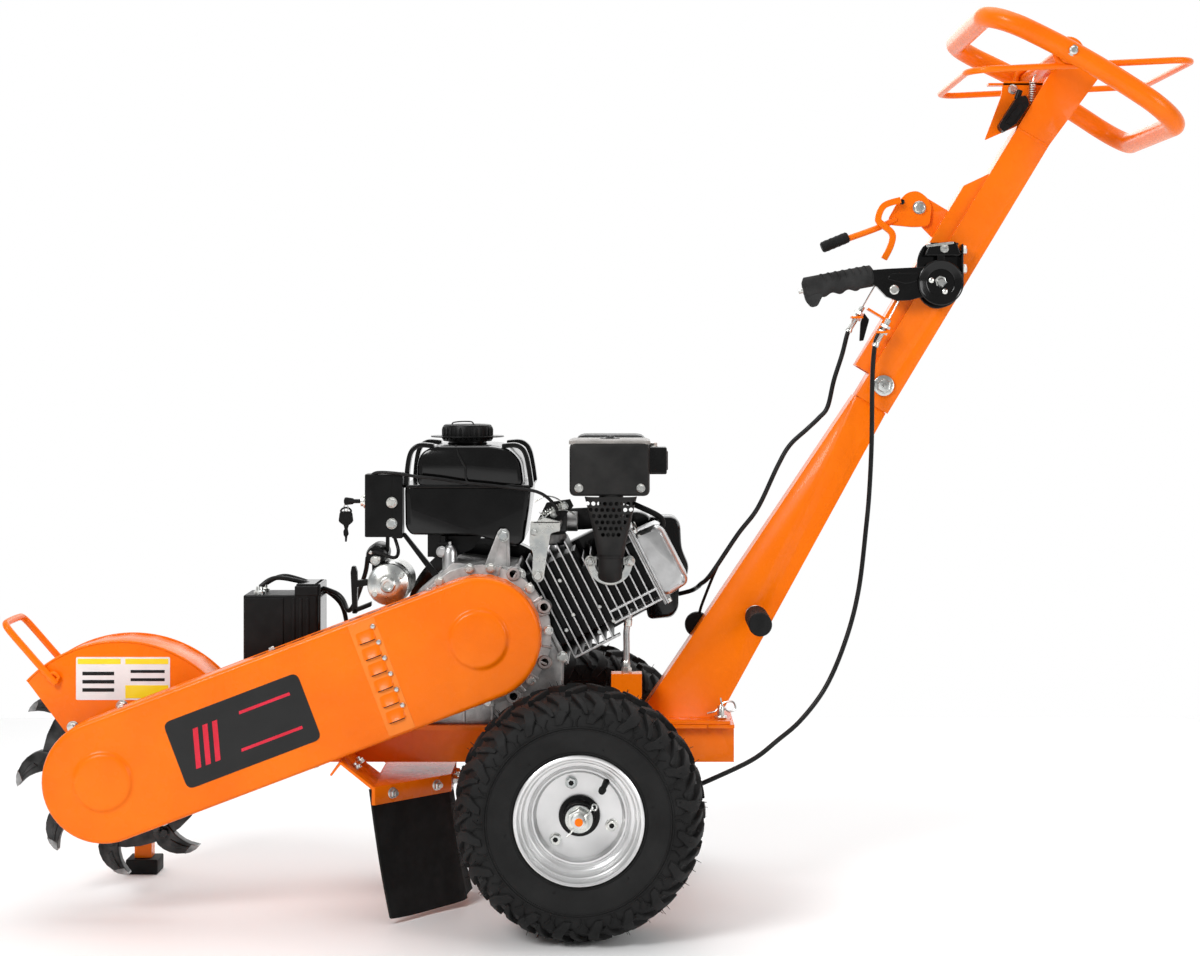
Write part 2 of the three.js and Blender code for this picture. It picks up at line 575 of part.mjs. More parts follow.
function brakeLever() {
  const { x, z } = BRAKE_PIVOT;
  const web = plateXZ([...arc(BRAKE_PIVOT, 32, -70, 100, 10), [x - 30, z + 28], [x - 128, z + 20], [x - 130, z + 2],
    [x - 106, z - 8], [x - 88, z - 24], [x - 50, z - 30]], [-68, -46]);
  const grip = join(rod([x - 122, -57, z + 12], [x - 232, -57, z - 13], 15, 16, 14),
    rod([x - 206, -57, z - 12], [x - 212, -57, z - 36], 9, 7, 8));
  const pinHole = barY(BRAKE_PIVOT, 8 + GAP, [-80, -30], 16);
  const buttonHole = rod([x - 200, -57, z - 5.7], [x - 240, -57, z - 14.8], 5, 5, 12);
  return cut(join(web, grip), pinHole, buttonHole);
}

function brakeButton() {
  const { x, z } = BRAKE_PIVOT;
  return rod([x - 211, -57, z - 8.2], [x - 241, -57, z - 15], 4.5, 4.5, 12);
}

// ---------------------------------------------------------------- control cables
const BRAKE_CABLE_ROUTE = [[512, -62, 985], [501, -62, 965], [496, -63, 930], [494, -64, 880], [493, -65, 793],
  [489, -67, 710], [483, -70, 646], [470, -75, 542], [448, -85, 460], [414, -95, 382], [371, -105, 326],
  [329, -113, 291], [287, -119, 260], [218, -124, 228], [150, -126, 200], [100, -128, 178], [78, -130, 168]];
const THROTTLE_CABLE_ROUTE = [[468, -20, 996], [457, -20, 978], [447, -20, 940], [433, -20, 896], [422, -20, 850],
  [407, -20, 831], [387, -20, 812], [357, -20, 784], [336, -20, 748], [302, -18, 676], [268, -12, 630],
  [222, 0, 560], [205, 28, 540], [198, 60, 530], [190, 76, 524]];

// ---------------------------------------------------------------- assembly
add('chassis_beam', ORANGE, chassisBeam());
add('axle_tube', ORANGE, axleTube());
add('axle_shaft', STEEL, axleShaft());
add('brake_band', BLACK_METAL, brakeBand());
add('deflector_plate', ORANGE, deflectorPlate());
add('rubber_flap', RUBBER, rubberFlap());
add('cutter_guard', ORANGE, cutterGuard());
add('lift_handle', ORANGE, liftHandle());
add('shaft_bearing_near', IRON, flangeBearing([-100, GUARD_Y[0] - GAP], [-72, GUARD_Y[0] - GAP]));
add('shaft_bearing_far', IRON, flangeBearing([GUARD_Y[1] + GAP, 80], [GUARD_Y[1] + GAP, 62]));
add('cutter_shaft', STEEL, barY(CUTTER, SHAFT_RADIUS, [-180, 84]));
add('cutter_disc', IRON, cutterDisc());
for (let i = 0; i < TOOTH_COUNT; i += 1) {
  const angle = THREE.MathUtils.degToRad(178 + (i * 360) / TOOTH_COUNT);
  add(`cutter_tooth_${i + 1}`, IRON, cutterTooth(angle));
}
add('cutter_pulley', IRON, groovedPulley(CUTTER, CUTTER_PULLEY_RADIUS, SHAFT_BORE));
add('engine_pulley', IRON, join(groovedPulley(CRANK, ENGINE_PULLEY_RADIUS, 10),
  barY(CRANK, 12.7, [-182, -126 - GAP])));
add('drive_belt', RUBBER, driveBelt());
add('belt_cover', ORANGE, beltCover());
add('belt_backplate', ORANGE, beltBackplate());
add('crankcase', ALUMINIUM, crankcase());
add('cylinder_block', ALUMINIUM, cylinderBlock());
add('valve_cover', SILVER, valveCover());
add('blower_housing', BLACK, blowerHousing());
add('recoil_grip', BLACK, recoilGrip());
add('starter_motor', STEEL, starterMotor());
add('muffler', BLACK_METAL, muffler());
add('heat_guard', BLACK_METAL, heatGuard());
add('fuel_tank', BLACK, fuelTank());
add('fuel_cap', BLACK, fuelCap());
add('air_cleaner', BLACK, airCleaner());
add('battery', BLACK, box(BATTERY.x, BATTERY.y, BATTERY.z));
add('switch_box', BLACK, switchBox());
add('ignition_key', STEEL, ignitionKey());
add('tyre_near', TYRE, tyre(-1));
add('tyre_far', TYRE, tyre(1));
add('wheel_near', SILVER, wheel(-1));
add('wheel_far', SILVER, wheel(1));
add('stand_arm', ORANGE, standArm());
add('stand_leg', ORANGE, box([STAND.x - STAND.half, STAND.x + STAND.half],
  [STAND.y - STAND.half, STAND.y + STAND.half], [27 + GAP, 310]));
add('stand_foot', RUBBER, box([STAND.x - 29, STAND.x + 29], [STAND.y - 29, STAND.y + 29], [0, 27]));
add('mast_lower', ORANGE, lowerMast());
add('swivel_pin', STEEL, swivelPin());
add('grip_bar', RUBBER, gripBar());
add('mast_upper', ORANGE, upperMast());
add('fold_bolt', STEEL, foldBolt());
add('handlebar', ORANGE, handlebar());
add('bail', ORANGE, bail());
add('throttle_lever', ORANGE, throttleLever());
add('brake_bracket', BLACK_METAL, brakeBracket());
add('brake_lever', BLACK, brakeLever());
add('brake_button', STEEL, brakeButton());
add('brake_cable', RUBBER, swept(BRAKE_CABLE_ROUTE, 4, 40, 8));
add('throttle_cable', RUBBER, swept(THROTTLE_CABLE_ROUTE, 4, 32, 8));

// The origin is at the middle of the footprint, on the ground.
const bounds = new THREE.Box3().setFromObject(model);
const centre = bounds.getCenter(new THREE.Vector3());
model.position.set(-centre.x, -centre.y, -bounds.min.z);

export default model;
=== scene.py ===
"""Looks of a walk-behind stump grinder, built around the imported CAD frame.

Lengths are millimetres with X = 0 on the wheel axis, Y = 0 in the middle and Z = 0 on the ground;
place() turns them into the frame's metres.
"""
import math
import random

import bmesh
import bpy
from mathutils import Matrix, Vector


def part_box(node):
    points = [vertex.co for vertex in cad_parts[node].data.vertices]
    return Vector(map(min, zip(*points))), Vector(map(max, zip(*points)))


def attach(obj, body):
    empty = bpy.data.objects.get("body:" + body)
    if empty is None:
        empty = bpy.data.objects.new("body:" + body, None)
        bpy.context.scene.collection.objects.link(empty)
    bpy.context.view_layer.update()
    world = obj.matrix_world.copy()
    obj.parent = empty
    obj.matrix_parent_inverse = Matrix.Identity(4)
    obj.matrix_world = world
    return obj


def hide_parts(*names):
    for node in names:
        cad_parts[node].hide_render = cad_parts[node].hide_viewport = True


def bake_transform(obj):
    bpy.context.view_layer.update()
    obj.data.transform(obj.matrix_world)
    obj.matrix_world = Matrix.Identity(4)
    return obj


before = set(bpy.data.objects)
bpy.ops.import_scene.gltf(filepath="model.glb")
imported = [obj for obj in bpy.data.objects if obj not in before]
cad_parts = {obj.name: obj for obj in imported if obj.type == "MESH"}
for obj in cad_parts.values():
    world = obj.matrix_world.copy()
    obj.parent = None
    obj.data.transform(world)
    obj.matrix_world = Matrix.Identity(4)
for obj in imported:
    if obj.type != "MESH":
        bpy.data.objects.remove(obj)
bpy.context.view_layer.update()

# ---------------------------------------------------------------- places taken from the frame
MM = 0.001
AXIS_X = (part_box("axle_shaft")[0].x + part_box("axle_shaft")[1].x) / 2


def place(point):
    """A point in millimetres from the wheel axis, as metres in the frame."""
    return Vector((point[0] * MM + AXIS_X, point[1] * MM, point[2] * MM))


def span(node, axis):
    """Lowest and highest millimetre value of a CAD node along x, y or z."""
    low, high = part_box(node)
    shift = AXIS_X if axis == "x" else 0
    return (getattr(low, axis) - shift) / MM, (getattr(high, axis) - shift) / MM


def centre(node):
    """Middle of a CAD node in the XZ plane, in millimetres."""
    return tuple(sum(span(node, axis)) / 2 for axis in "xz")


CUTTER = centre("cutter_disc")
CRANK = centre("engine_pulley")
FOLD = centre("fold_bolt")
WHEEL = centre("tyre_near")
TYRE_R = span("tyre_near", "z")[1] - WHEEL[1]
WHEEL_Y = sum(span("tyre_far", "y")) / 2
COVER_FRONT = span("belt_cover", "y")[0] + 6
COVER_BACK = span("belt_cover", "y")[1]
COVER_R = CUTTER[0] - span("belt_backplate", "x")[0]
CYLINDER_TILT = math.radians(27)
MAST_TILT = math.radians(58.94)
CROSSBAR = (FOLD[0] + 286.5, FOLD[1] + 550.2)
THROTTLE = (FOLD[0] + 65, FOLD[1] + 306.6)
BRAKE = (FOLD[0] + 93.5, FOLD[1] + 175.2)


def turned_point(origin, angle, u, v):
    """Point at u along a line through origin at that angle in the XZ plane, and v square to it."""
    cos, sin = math.cos(angle), math.sin(angle)
    return origin[0] + u * cos - v * sin, origin[1] + u * sin + v * cos


def on_cylinder(u, v):
    return turned_point(CRANK, CYLINDER_TILT, u, v)


def on_mast(s, t):
    return turned_point(FOLD, MAST_TILT, s, t)


COVER_ANGLE = math.atan2(CRANK[1] - CUTTER[1], CRANK[0] - CUTTER[0])


def on_cover(along, across):
    return turned_point(CUTTER, COVER_ANGLE, along, across)


def flat(points, y):
    """XZ points as XYZ points at one depth."""
    return [(x, y, z) for x, z in points]


# ---------------------------------------------------------------- materials
class Finish:
    """A node material made of a base colour, noise patterns in object space, and bump."""

    def __init__(self, name, metallic=0.0, roughness=0.5, coat=0.0, coat_roughness=0.05, specular=0.5):
        self.material = bpy.data.materials.new(name)
        self.material.use_nodes = True
        self.tree = self.material.node_tree
        self.shader = self.tree.nodes["Principled BSDF"]
        self.shader.inputs["Metallic"].default_value = metallic
        self.shader.inputs["Roughness"].default_value = roughness
        self.shader.inputs["Coat Weight"].default_value = coat
        self.shader.inputs["Coat Roughness"].default_value = coat_roughness
        self.shader.inputs["Specular IOR Level"].default_value = specular
        self.coordinates = self.tree.nodes.new("ShaderNodeTexCoord").outputs["Object"]
        self.last_normal = None

    def node(self, kind, **inputs):
        made = self.tree.nodes.new(kind)
        for key, value in inputs.items():
            socket = made.inputs[key.replace("_", " ")]
            if isinstance(value, bpy.types.NodeSocket):
                self.tree.links.new(value, socket)
            else:
                socket.default_value = value
        return made

    def noise(self, scale, detail=4.0, stretch=None):
        """Noise at that many features a metre, stretched along the axes if asked."""
        where = self.coordinates
        if stretch:
            where = self.node("ShaderNodeMapping", Vector=where, Scale=stretch).outputs["Vector"]
        return self.node("ShaderNodeTexNoise", Vector=where, Scale=scale, Detail=detail).outputs["Fac"]

    def cells(self, scale):
        return self.node("ShaderNodeTexVoronoi", Vector=self.coordinates, Scale=scale).outputs["Distance"]

    def ramp(self, value, *stops):
        """Colour ramp through (position, colour) stops."""
        made = self.node("ShaderNodeValToRGB", Fac=value)
        elements = made.color_ramp.elements
        while len(elements) < len(stops):
            elements.new(0.5)
        for element, (position, colour) in zip(elements, stops):
            element.position = position
            element.color = (*colour, 1) if len(colour) == 3 else colour
        return made.outputs["Color"]

    def colour(self, value, *stops):
        self.tree.links.new(self.ramp(value, *stops), self.shader.inputs["Base Color"])
        return self

    def mixed_colour(self, factor, first, second):
        made = self.node("ShaderNodeMix")
        made.data_type = "RGBA"
        self.tree.links.new(factor, made.inputs[0])
        self.tree.links.new(first, made.inputs[6])
        self.tree.links.new(second, made.inputs[7])
        return made.outputs[2]

    def rough(self, value, low, high):
        made = self.node("ShaderNodeMapRange", Value=value, To_Min=low, To_Max=high)
        self.tree.links.new(made.outputs["Result"], self.shader.inputs["Roughness"])
        return self

    def bump(self, height, strength, distance):
        made = self.node("ShaderNodeBump", Height=height, Strength=strength, Distance=distance)
        if self.last_normal:
            self.tree.links.new(self.last_normal, made.inputs["Normal"])
        self.last_normal = made.outputs["Normal"]
        self.tree.links.new(self.last_normal, self.shader.inputs["Normal"])
        return self


def grey(value, warmth=0.0):
    return (value * (1 + warmth), value, value * (1 - warmth))


def paint(name, dark, light, roughness=(0.2, 0.34)):
    """Powder coat: slow drift of colour, orange-peel surface and faint scuffs."""
    made = Finish(name, coat=0.1, coat_roughness=0.04, specular=0.16)
    made.colour(made.noise(9), (0.3, dark), (0.7, light))
    made.rough(made.noise(38, 8), *roughness)
    made.bump(made.noise(420, 2), 0.22, 0.0007)
    return made.bump(made.noise(60, 6, (1, 1, 0.12)), 0.05, 0.0005)


def enamel(name, dark, light, roughness, coat):
    made = Finish(name, coat=coat, specular=0.15)
    made.colour(made.noise(24, 8), (0.35, dark), (0.7, light))
    made.rough(made.noise(70, 6), *roughness)
    return made.bump(made.noise(300, 2), 0.1, 0.0004)


def moulded(name, dark, light, roughness, grain, depth):
    """Moulded plastic or rubber with a fine texture and a little dust."""
    made = Finish(name, specular=0.18)
    made.colour(made.noise(30, 10), (0.4, dark), (0.75, light))
    made.rough(made.noise(90, 6), *roughness)
    return made.bump(made.cells(grain), 0.3, depth)


def metal(name, dark, light, roughness, grain, depth, stretch=None):
    made = Finish(name, metallic=1.0)
    made.colour(made.noise(45, 8, stretch), (0.3, dark), (0.7, light))
    made.rough(made.noise(120, 6), *roughness)
    return made.bump(made.noise(grain, 6, stretch), 0.25, depth)


def fin_finish():
    """Finned casting: the sides of the fins are dark and their machined edges bright."""
    made = Finish("engine_fin", metallic=0.8, roughness=0.4)
    normal = made.tree.nodes["Texture Coordinate"].outputs["Normal"]
    along = (math.cos(CYLINDER_TILT), 0, math.sin(CYLINDER_TILT))
    dot = made.node("ShaderNodeVectorMath")
    dot.operation = "DOT_PRODUCT"
    made.tree.links.new(normal, dot.inputs[0])
    dot.inputs[1].default_value = along
    size = made.node("ShaderNodeMath")
    size.operation = "ABSOLUTE"
    made.tree.links.new(dot.outputs["Value"], size.inputs[0])
    side = made.ramp(size.outputs[0], (0.25, grey(1)), (0.6, grey(0)))
    dark = made.ramp(made.noise(80, 8), (0.3, grey(0.010)), (0.8, grey(0.03)))
    bright = made.ramp(made.noise(160, 6), (0.3, grey(0.5)), (0.7, grey(0.8)))
    made.tree.links.new(made.mixed_colour(side, dark, bright), made.shader.inputs["Base Color"])
    return made.bump(made.noise(500, 4), 0.2, 0.0004)


def heat_finish():
    """Matt heat-proof black of the muffler and its guard."""
    made = Finish("heat_guard_black", specular=0.2)
    made.colour(made.noise(35, 10), (0.3, grey(0.010)), (0.75, grey(0.020, 0.04)))
    made.rough(made.noise(60, 6), 0.42, 0.62)
    return made.bump(made.noise(600, 3), 0.25, 0.0003)


def tyre_finish():
    """Tyre rubber: matt black, greyer with dust in broad patches, finely pitted."""
    made = Finish("tyre_rubber", specular=0.22)
    made.colour(made.noise(14, 10), (0.35, grey(0.006)), (0.62, grey(0.011)), (0.85, grey(0.02, 0.05)))
    made.rough(made.noise(55, 8), 0.5, 0.8)
    made.bump(made.noise(240, 8), 0.25, 0.0008)
    return made.bump(made.cells(1400), 0.15, 0.0003)


ORANGE = paint("orange_powder_coat", (0.86, 0.15, 0.001), (0.95, 0.185, 0.002))
# lighter copy of the orange powder coat for the pressed band on the belt cover: a painted highlight
ORANGE_BAND_PAINTED_LIGHT = paint("orange_band_painted_highlight", (0.86, 0.20, 0.02), (0.95, 0.25, 0.03))
GLOSS_BLACK = enamel("gloss_black", grey(0.002), grey(0.005), (0.1, 0.24), 0.4)
SATIN_BLACK = enamel("satin_black", grey(0.003), grey(0.007), (0.24, 0.4), 0.08)
SILVER = enamel("silver_enamel", grey(0.74), grey(0.80), (0.26, 0.32), 0.4)
SILVER.shader.inputs["Metallic"].default_value = 0.65
CHROME = metal("pressed_cover", grey(0.56), grey(0.74), (0.24, 0.38), 200, 0.0003)
ALUMINIUM = metal("cast_aluminium", grey(0.30), grey(0.60, 0.02), (0.34, 0.58), 520, 0.0012)
ZINC = metal("bright_zinc", (0.52, 0.55, 0.55), (0.84, 0.83, 0.78), (0.2, 0.38), 300, 0.0004)
STEEL = metal("dark_steel", grey(0.020), grey(0.075), (0.28, 0.55), 340, 0.0008)
GROUND_EDGE = metal("ground_edge", grey(0.12), grey(0.4), (0.2, 0.4), 260, 0.0006, (1, 9, 1))
FIN = fin_finish()
HEAT_BLACK = heat_finish()
PLASTIC = moulded("black_plastic", grey(0.005), grey(0.012), (0.3, 0.46), 1100, 0.0003)
RUBBER = moulded("black_rubber", grey(0.006), grey(0.013), (0.5, 0.75), 800, 0.0005)
FOAM = moulded("grip_foam", grey(0.018), grey(0.04), (0.7, 0.92), 620, 0.0012)
CABLE = moulded("cable_jacket", grey(0.008), grey(0.018), (0.22, 0.42), 900, 0.0002)
TYRE = tyre_finish()
LABEL_WHITE = enamel("label_white", grey(0.78), grey(0.86), (0.3, 0.45), 0.3)
LABEL_YELLOW = enamel("label_yellow", (0.90, 0.70, 0.015), (0.95, 0.78, 0.03), (0.3, 0.45), 0.3)
LABEL_GREY = enamel("label_dark", grey(0.006), grey(0.012), (0.3, 0.45), 0.1)
STRIPE_RED = enamel("stripe_red", (0.62, 0.008, 0.03), (0.72, 0.012, 0.045), (0.25, 0.4), 0.4)
IVORY = moulded("muffler_lid", grey(0.20, 0.06), grey(0.34, 0.06), (0.3, 0.5), 700, 0.0003)


# ---------------------------------------------------------------- shells, as (points, faces) in millimetres
def grid_faces(rows, columns, closed_rows=False, closed_columns=True):
    """Quads between rows of points; the points run along each row."""
    faces = []
    for i in range(rows if closed_rows else rows - 1):
        for j in range(columns if closed_columns else columns - 1):
            i2, j2 = (i + 1) % rows, (j + 1) % columns
            faces.append((i * columns + j, i * columns + j2, i2 * columns + j2, i2 * columns + j))
    return faces


def loft(rings, closed=False):
    """Skin over rings of equal point counts, with flat caps unless it closes on itself."""
    count = len(rings[0])
    faces = grid_faces(len(rings), count, closed_rows=closed)
    if not closed:
        faces += [tuple(range(count)), tuple(reversed(range((len(rings) - 1) * count, len(rings) * count)))]
    return [point for ring in rings for point in ring], faces


def box(x, y, z):
    ring = [(x[0], z[0]), (x[1], z[0]), (x[1], z[1]), (x[0], z[1])]
    return loft([flat(ring, y[0]), flat(ring, y[1])])


def prism(outline, y):
    return loft([flat(outline, y[0]), flat(outline, y[1])])


def prism_z(outline, z):
    return loft([[(px, py, height) for px, py in outline] for height in z])


def pillow(outline, middle, layers):
    """Solid over one outline at (y, inset) layers; an inset draws the outline in towards the middle."""
    return loft([flat([(x + (middle[0] - x) * inset, z + (middle[1] - z) * inset) for x, z in outline], y)
                 for y, inset in layers])


def sheet(face, back, rows, columns):
    """Closed thin sheet between two grids of points."""
    grid = grid_faces(rows, columns, closed_columns=False)
    count = rows * columns
    rim = list(range(columns)) + [i * columns + columns - 1 for i in range(1, rows)]
    rim += list(range(count - 2, count - columns - 1, -1)) + [i * columns for i in range(rows - 2, 0, -1)]
    following = rim[1:] + rim[:1]
    sides = [(here, after, count + after, count + here) for here, after in zip(rim, following)]
    return face + back, grid + [tuple(count + index for index in reversed(f)) for f in grid] + sides


def basis(direction):
    axis = Vector(direction).normalized()
    side = axis.orthogonal().normalized()
    return side, axis.cross(side), axis


def lathe(origin, direction, profile, segments=48, closed=False, turn=0.0):
    """Surface turned about a line; the profile is (radius, distance along the line) pairs."""
    side, other, axis = basis(direction)
    rings = []
    for radius, height in profile:
        ring = []
        for i in range(segments):
            angle = 2 * math.pi * i / segments + turn
            out = side * math.cos(angle) + other * math.sin(angle)
            ring.append(tuple(Vector(origin) + out * radius + axis * height))
        rings.append(ring)
    return loft(rings, closed)


def bar(start, end, radius, end_radius=None, segments=24, edge=0.8):
    """Round bar with softened rims."""
    length = (Vector(end) - Vector(start)).length
    last = radius if end_radius is None else end_radius
    edge = min(edge, radius / 2, length / 4)
    profile = [(radius - edge, 0), (radius, edge), (last, length - edge), (last - edge, length)]
    return lathe(start, Vector(end) - Vector(start), profile, segments)


def ring_profile(inner, outer, low, high, edge=0.6):
    return [(inner, low), (outer - edge, low), (outer, low + edge), (outer, high - edge),
            (outer - edge, high), (inner, high)]


def washer(origin, direction, inner, outer, low, high, segments=36):
    return lathe(origin, direction, ring_profile(inner, outer, low, high), segments, closed=True)


def hex_bolt(origin, direction, size, head=None):
    """Washer and chamfered hexagon head, standing on origin; size is the thread diameter."""
    head = head or size * 0.65
    disc = lathe(origin, direction, ring_profile(0.2, size * 1.05, 0, size * 0.16), 28)
    radius = size * 0.9
    low = size * 0.16
    cap = lathe(origin, direction, [(radius, low), (radius, low + head * 0.8), (radius * 0.82, low + head)],
                6)
    return [disc, cap]


def stud(origin, direction, size, length):
    """Nut with washer and a thread end that shows the bolt's bore."""
    nut = hex_bolt(origin, direction, size, size * 0.7)
    side = Vector(direction).normalized() * (size * 0.8)
    start = tuple(Vector(origin) + side)
    return [*nut, bar(start, tuple(Vector(start) + Vector(direction).normalized() * length), size * 0.5,
                      segments=16)]


def smooth_path(points, steps, closed=False):
    """Points along a Catmull-Rom curve through the given ones."""
    vectors = [Vector(p) for p in points]
    count = len(vectors)
    spans = count if closed else count - 1
    path = []
    for i in range(steps + (0 if closed else 1)):
        place_on = i * spans / steps
        k = min(int(place_on), spans - 1)
        t = place_on - k

        def pick(offset):
            index = k + offset
            return vectors[index % count] if closed else vectors[max(0, min(count - 1, index))]

        p0, p1, p2, p3 = pick(-1), pick(0), pick(1), pick(2)
        path.append(0.5 * (2 * p1 + (p2 - p0) * t + (2 * p0 - 5 * p1 + 4 * p2 - p3) * t * t
                           + (3 * p1 - p0 - 3 * p2 + p3) * t ** 3))
    return path


def tube(path, radius, sides=16, closed=False):
    """Round tube along a path; the radius may be a function of the share of the way."""
    count = len(path)
    thickness = radius if callable(radius) else (lambda share: radius)
    rings = []
    side = None
    for i, point in enumerate(path):
        ahead = path[(i + 1) % count] if closed or i < count - 1 else path[i]
        behind = path[i - 1] if closed or i > 0 else path[i]
        axis = (ahead - behind).normalized()
        if side is None:
            side = axis.orthogonal().normalized()
        side = (side - axis * side.dot(axis)).normalized()
        other = axis.cross(side)
        r = thickness(i / max(1, count - 1))
        ring = []
        for j in range(sides):
            angle = 2 * math.pi * j / sides
            ring.append(tuple(point + side * (r * math.cos(angle)) + other * (r * math.sin(angle))))
        rings.append(ring)
    return loft(rings, closed)


def strip(points, steps, half_width):
    """Outline of a bent strip of even width, with its centre line through the XZ points."""
    line = smooth_path([(x, 0, z) for x, z in points], steps)
    edge = []
    for i, point in enumerate(line):
        ahead = line[min(i + 1, steps)] - line[max(i - 1, 0)]
        edge.append((point, Vector((-ahead.z, 0, ahead.x)).normalized() * half_width))
    return [(p.x + n.x, p.z + n.z) for p, n in edge] + [(p.x - n.x, p.z - n.z) for p, n in reversed(edge)]


def wire(points, radius, steps=40, sides=12):
    return tube(smooth_path(points, steps), radius, sides)


def coil(start, end, radius, turns, gauge, steps_a_turn=14):
    """Helical spring between two points."""
    side, other, axis = basis(Vector(end) - Vector(start))
    length = (Vector(end) - Vector(start)).length
    total = int(turns * steps_a_turn)
    path = []
    for i in range(total + 1):
        angle = 2 * math.pi * i / steps_a_turn
        out = side * math.cos(angle) + other * math.sin(angle)
        path.append(Vector(start) + out * radius + axis * (length * i / total))
    return tube(path, gauge, 8)


def arc(origin, radius, start, stop, count):
    return [(origin[0] + radius * math.cos(math.radians(start + (stop - start) * i / count)),
             origin[1] + radius * math.sin(math.radians(start + (stop - start) * i / count)))
            for i in range(count + 1)]


def rounded(points, radius, steps=5):
    """Outline with its corners rounded."""
    outline = []
    count = len(points)
    for i, point in enumerate(points):
        here = Vector(point)
        before = Vector(points[i - 1]) - here
        after = Vector(points[(i + 1) % count]) - here
        reach = min(radius, before.length * 0.45, after.length * 0.45)
        start, end = here + before.normalized() * reach, here + after.normalized() * reach
        for k in range(steps + 1):
            t = k / steps
            outline.append(tuple(start * (1 - t) ** 2 + here * (2 * t * (1 - t)) + end * t * t))
    return outline


# ---------------------------------------------------------------- pieces
SMOOTH_ANGLE = math.radians(32)


def piece(name, shells, finish, body, bevel=0.0, replaces=(), segments=2, ride=True):
    """One object from shells, riding on a body; bevel is the width of its softened edges."""
    points, faces = [], []
    for shell_points, shell_faces in shells:
        start = len(points)
        points += [tuple(place(p)) for p in shell_points]
        faces += [tuple(start + index for index in face) for face in shell_faces]
    mesh = bpy.data.meshes.new(name)
    mesh.from_pydata(points, [], faces)
    build = bmesh.new()
    build.from_mesh(mesh)
    bmesh.ops.remove_doubles(build, verts=build.verts, dist=1e-6)
    bmesh.ops.dissolve_degenerate(build, edges=build.edges, dist=1e-6)
    bmesh.ops.recalc_face_normals(build, faces=build.faces)
    build.to_mesh(mesh)
    build.free()
    made = bpy.data.objects.new(name, mesh)
    bpy.context.scene.collection.objects.link(made)
    mesh.materials.append(finish.material)
    for polygon in mesh.polygons:
        polygon.use_smooth = True
    if bevel:
        soften(made, bevel, segments)
    else:
        mesh.set_sharp_from_angle(angle=SMOOTH_ANGLE)
    if ride:
        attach(made, body)
    if replaces:
        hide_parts(*replaces)
    return made


def soften(obj, width, segments=2):
    edge = obj.modifiers.new("soft_edges", "BEVEL")
    edge.width = width * MM
    edge.segments = segments
    edge.limit_method = "ANGLE"
    edge.angle_limit = SMOOTH_ANGLE
    edge.harden_normals = True


def dress(node, finish, bevel=1.0, segments=2):
    """A CAD node that stays: its own shape with softened edges and a finish."""
    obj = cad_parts[node]
    obj.data.materials.clear()
    obj.data.materials.append(finish.material)
    for polygon in obj.data.polygons:
        polygon.material_index = 0
        polygon.use_smooth = True
    weld = obj.modifiers.new("one_surface", "WELD")
    weld.merge_threshold = 0.02 * MM
    plain = obj.modifiers.new("flat_faces", "DECIMATE")
    plain.decimate_type = "DISSOLVE"
    plain.angle_limit = math.radians(1)
    soften(obj, bevel, segments)


NEAR = (0, -1, 0)
FAR = (0, 1, 0)
UP = (0, 0, 1)


# ---------------------------------------------------------------- tyres and wheels
TREAD_PITCHES = 20
LUG_HEIGHT = 9
CROWN_R = TYRE_R - LUG_HEIGHT
# Outside of the carcass as (radius, distance from the wheel's middle), from the crown to the bead.
CARCASS = [(CROWN_R, 0), (CROWN_R - 0.5, 22), (CROWN_R - 3, 48), (CROWN_R - 8, 70), (CROWN_R - 17, 87),
           (CROWN_R - 31, 95), (CROWN_R - 44, 97), (CROWN_R - 58, 95.5), (CROWN_R - 72, 92),
           (CROWN_R - 84, 86),
           (CROWN_R - 90, 84), (CROWN_R - 95, 78)]


def carcass_at(distance):
    """Point and outward normal of the carcass at a distance round it from the crown."""
    left = distance
    for (r0, y0), (r1, y1) in zip(CARCASS, CARCASS[1:]):
        length = math.hypot(r1 - r0, y1 - y0)
        if left <= length or (r1, y1) == CARCASS[-1]:
            share = left / length
            return (r0 + (r1 - r0) * share, y0 + (y1 - y0) * share), ((y1 - y0) / length, (r0 - r1) / length)
        left -= length


def lug(angle, side, sections):
    """Raised block of tread; each section is (distance from the crown, shift round, width, height)."""
    rings = []
    for distance, shift, width, height in sections:
        (r, y), (normal_r, normal_y) = carcass_at(distance)
        ring = []
        for lift, half in ((-1.5, width / 2), (height - 1.2, width / 2 - 0.8), (height, width / 2 - 2.2)):
            for sign in ((-1, 1) if lift < 0 else (1,)):
                ring.append((lift, sign * half))
        corners = [ring[0], (height - 1.2, -width / 2 + 0.8), (height, -width / 2 + 2.2), ring[3], ring[2],
                   ring[1]]
        points = []
        for lift, across in corners:
            radius = r + normal_r * lift
            turn = angle + (shift + across) / CROWN_R
            depth = side * (y + normal_y * lift)
            points.append((WHEEL[0] + radius * math.cos(turn), depth, WHEEL[1] + radius * math.sin(turn)))
        rings.append(points)
    return loft(rings)


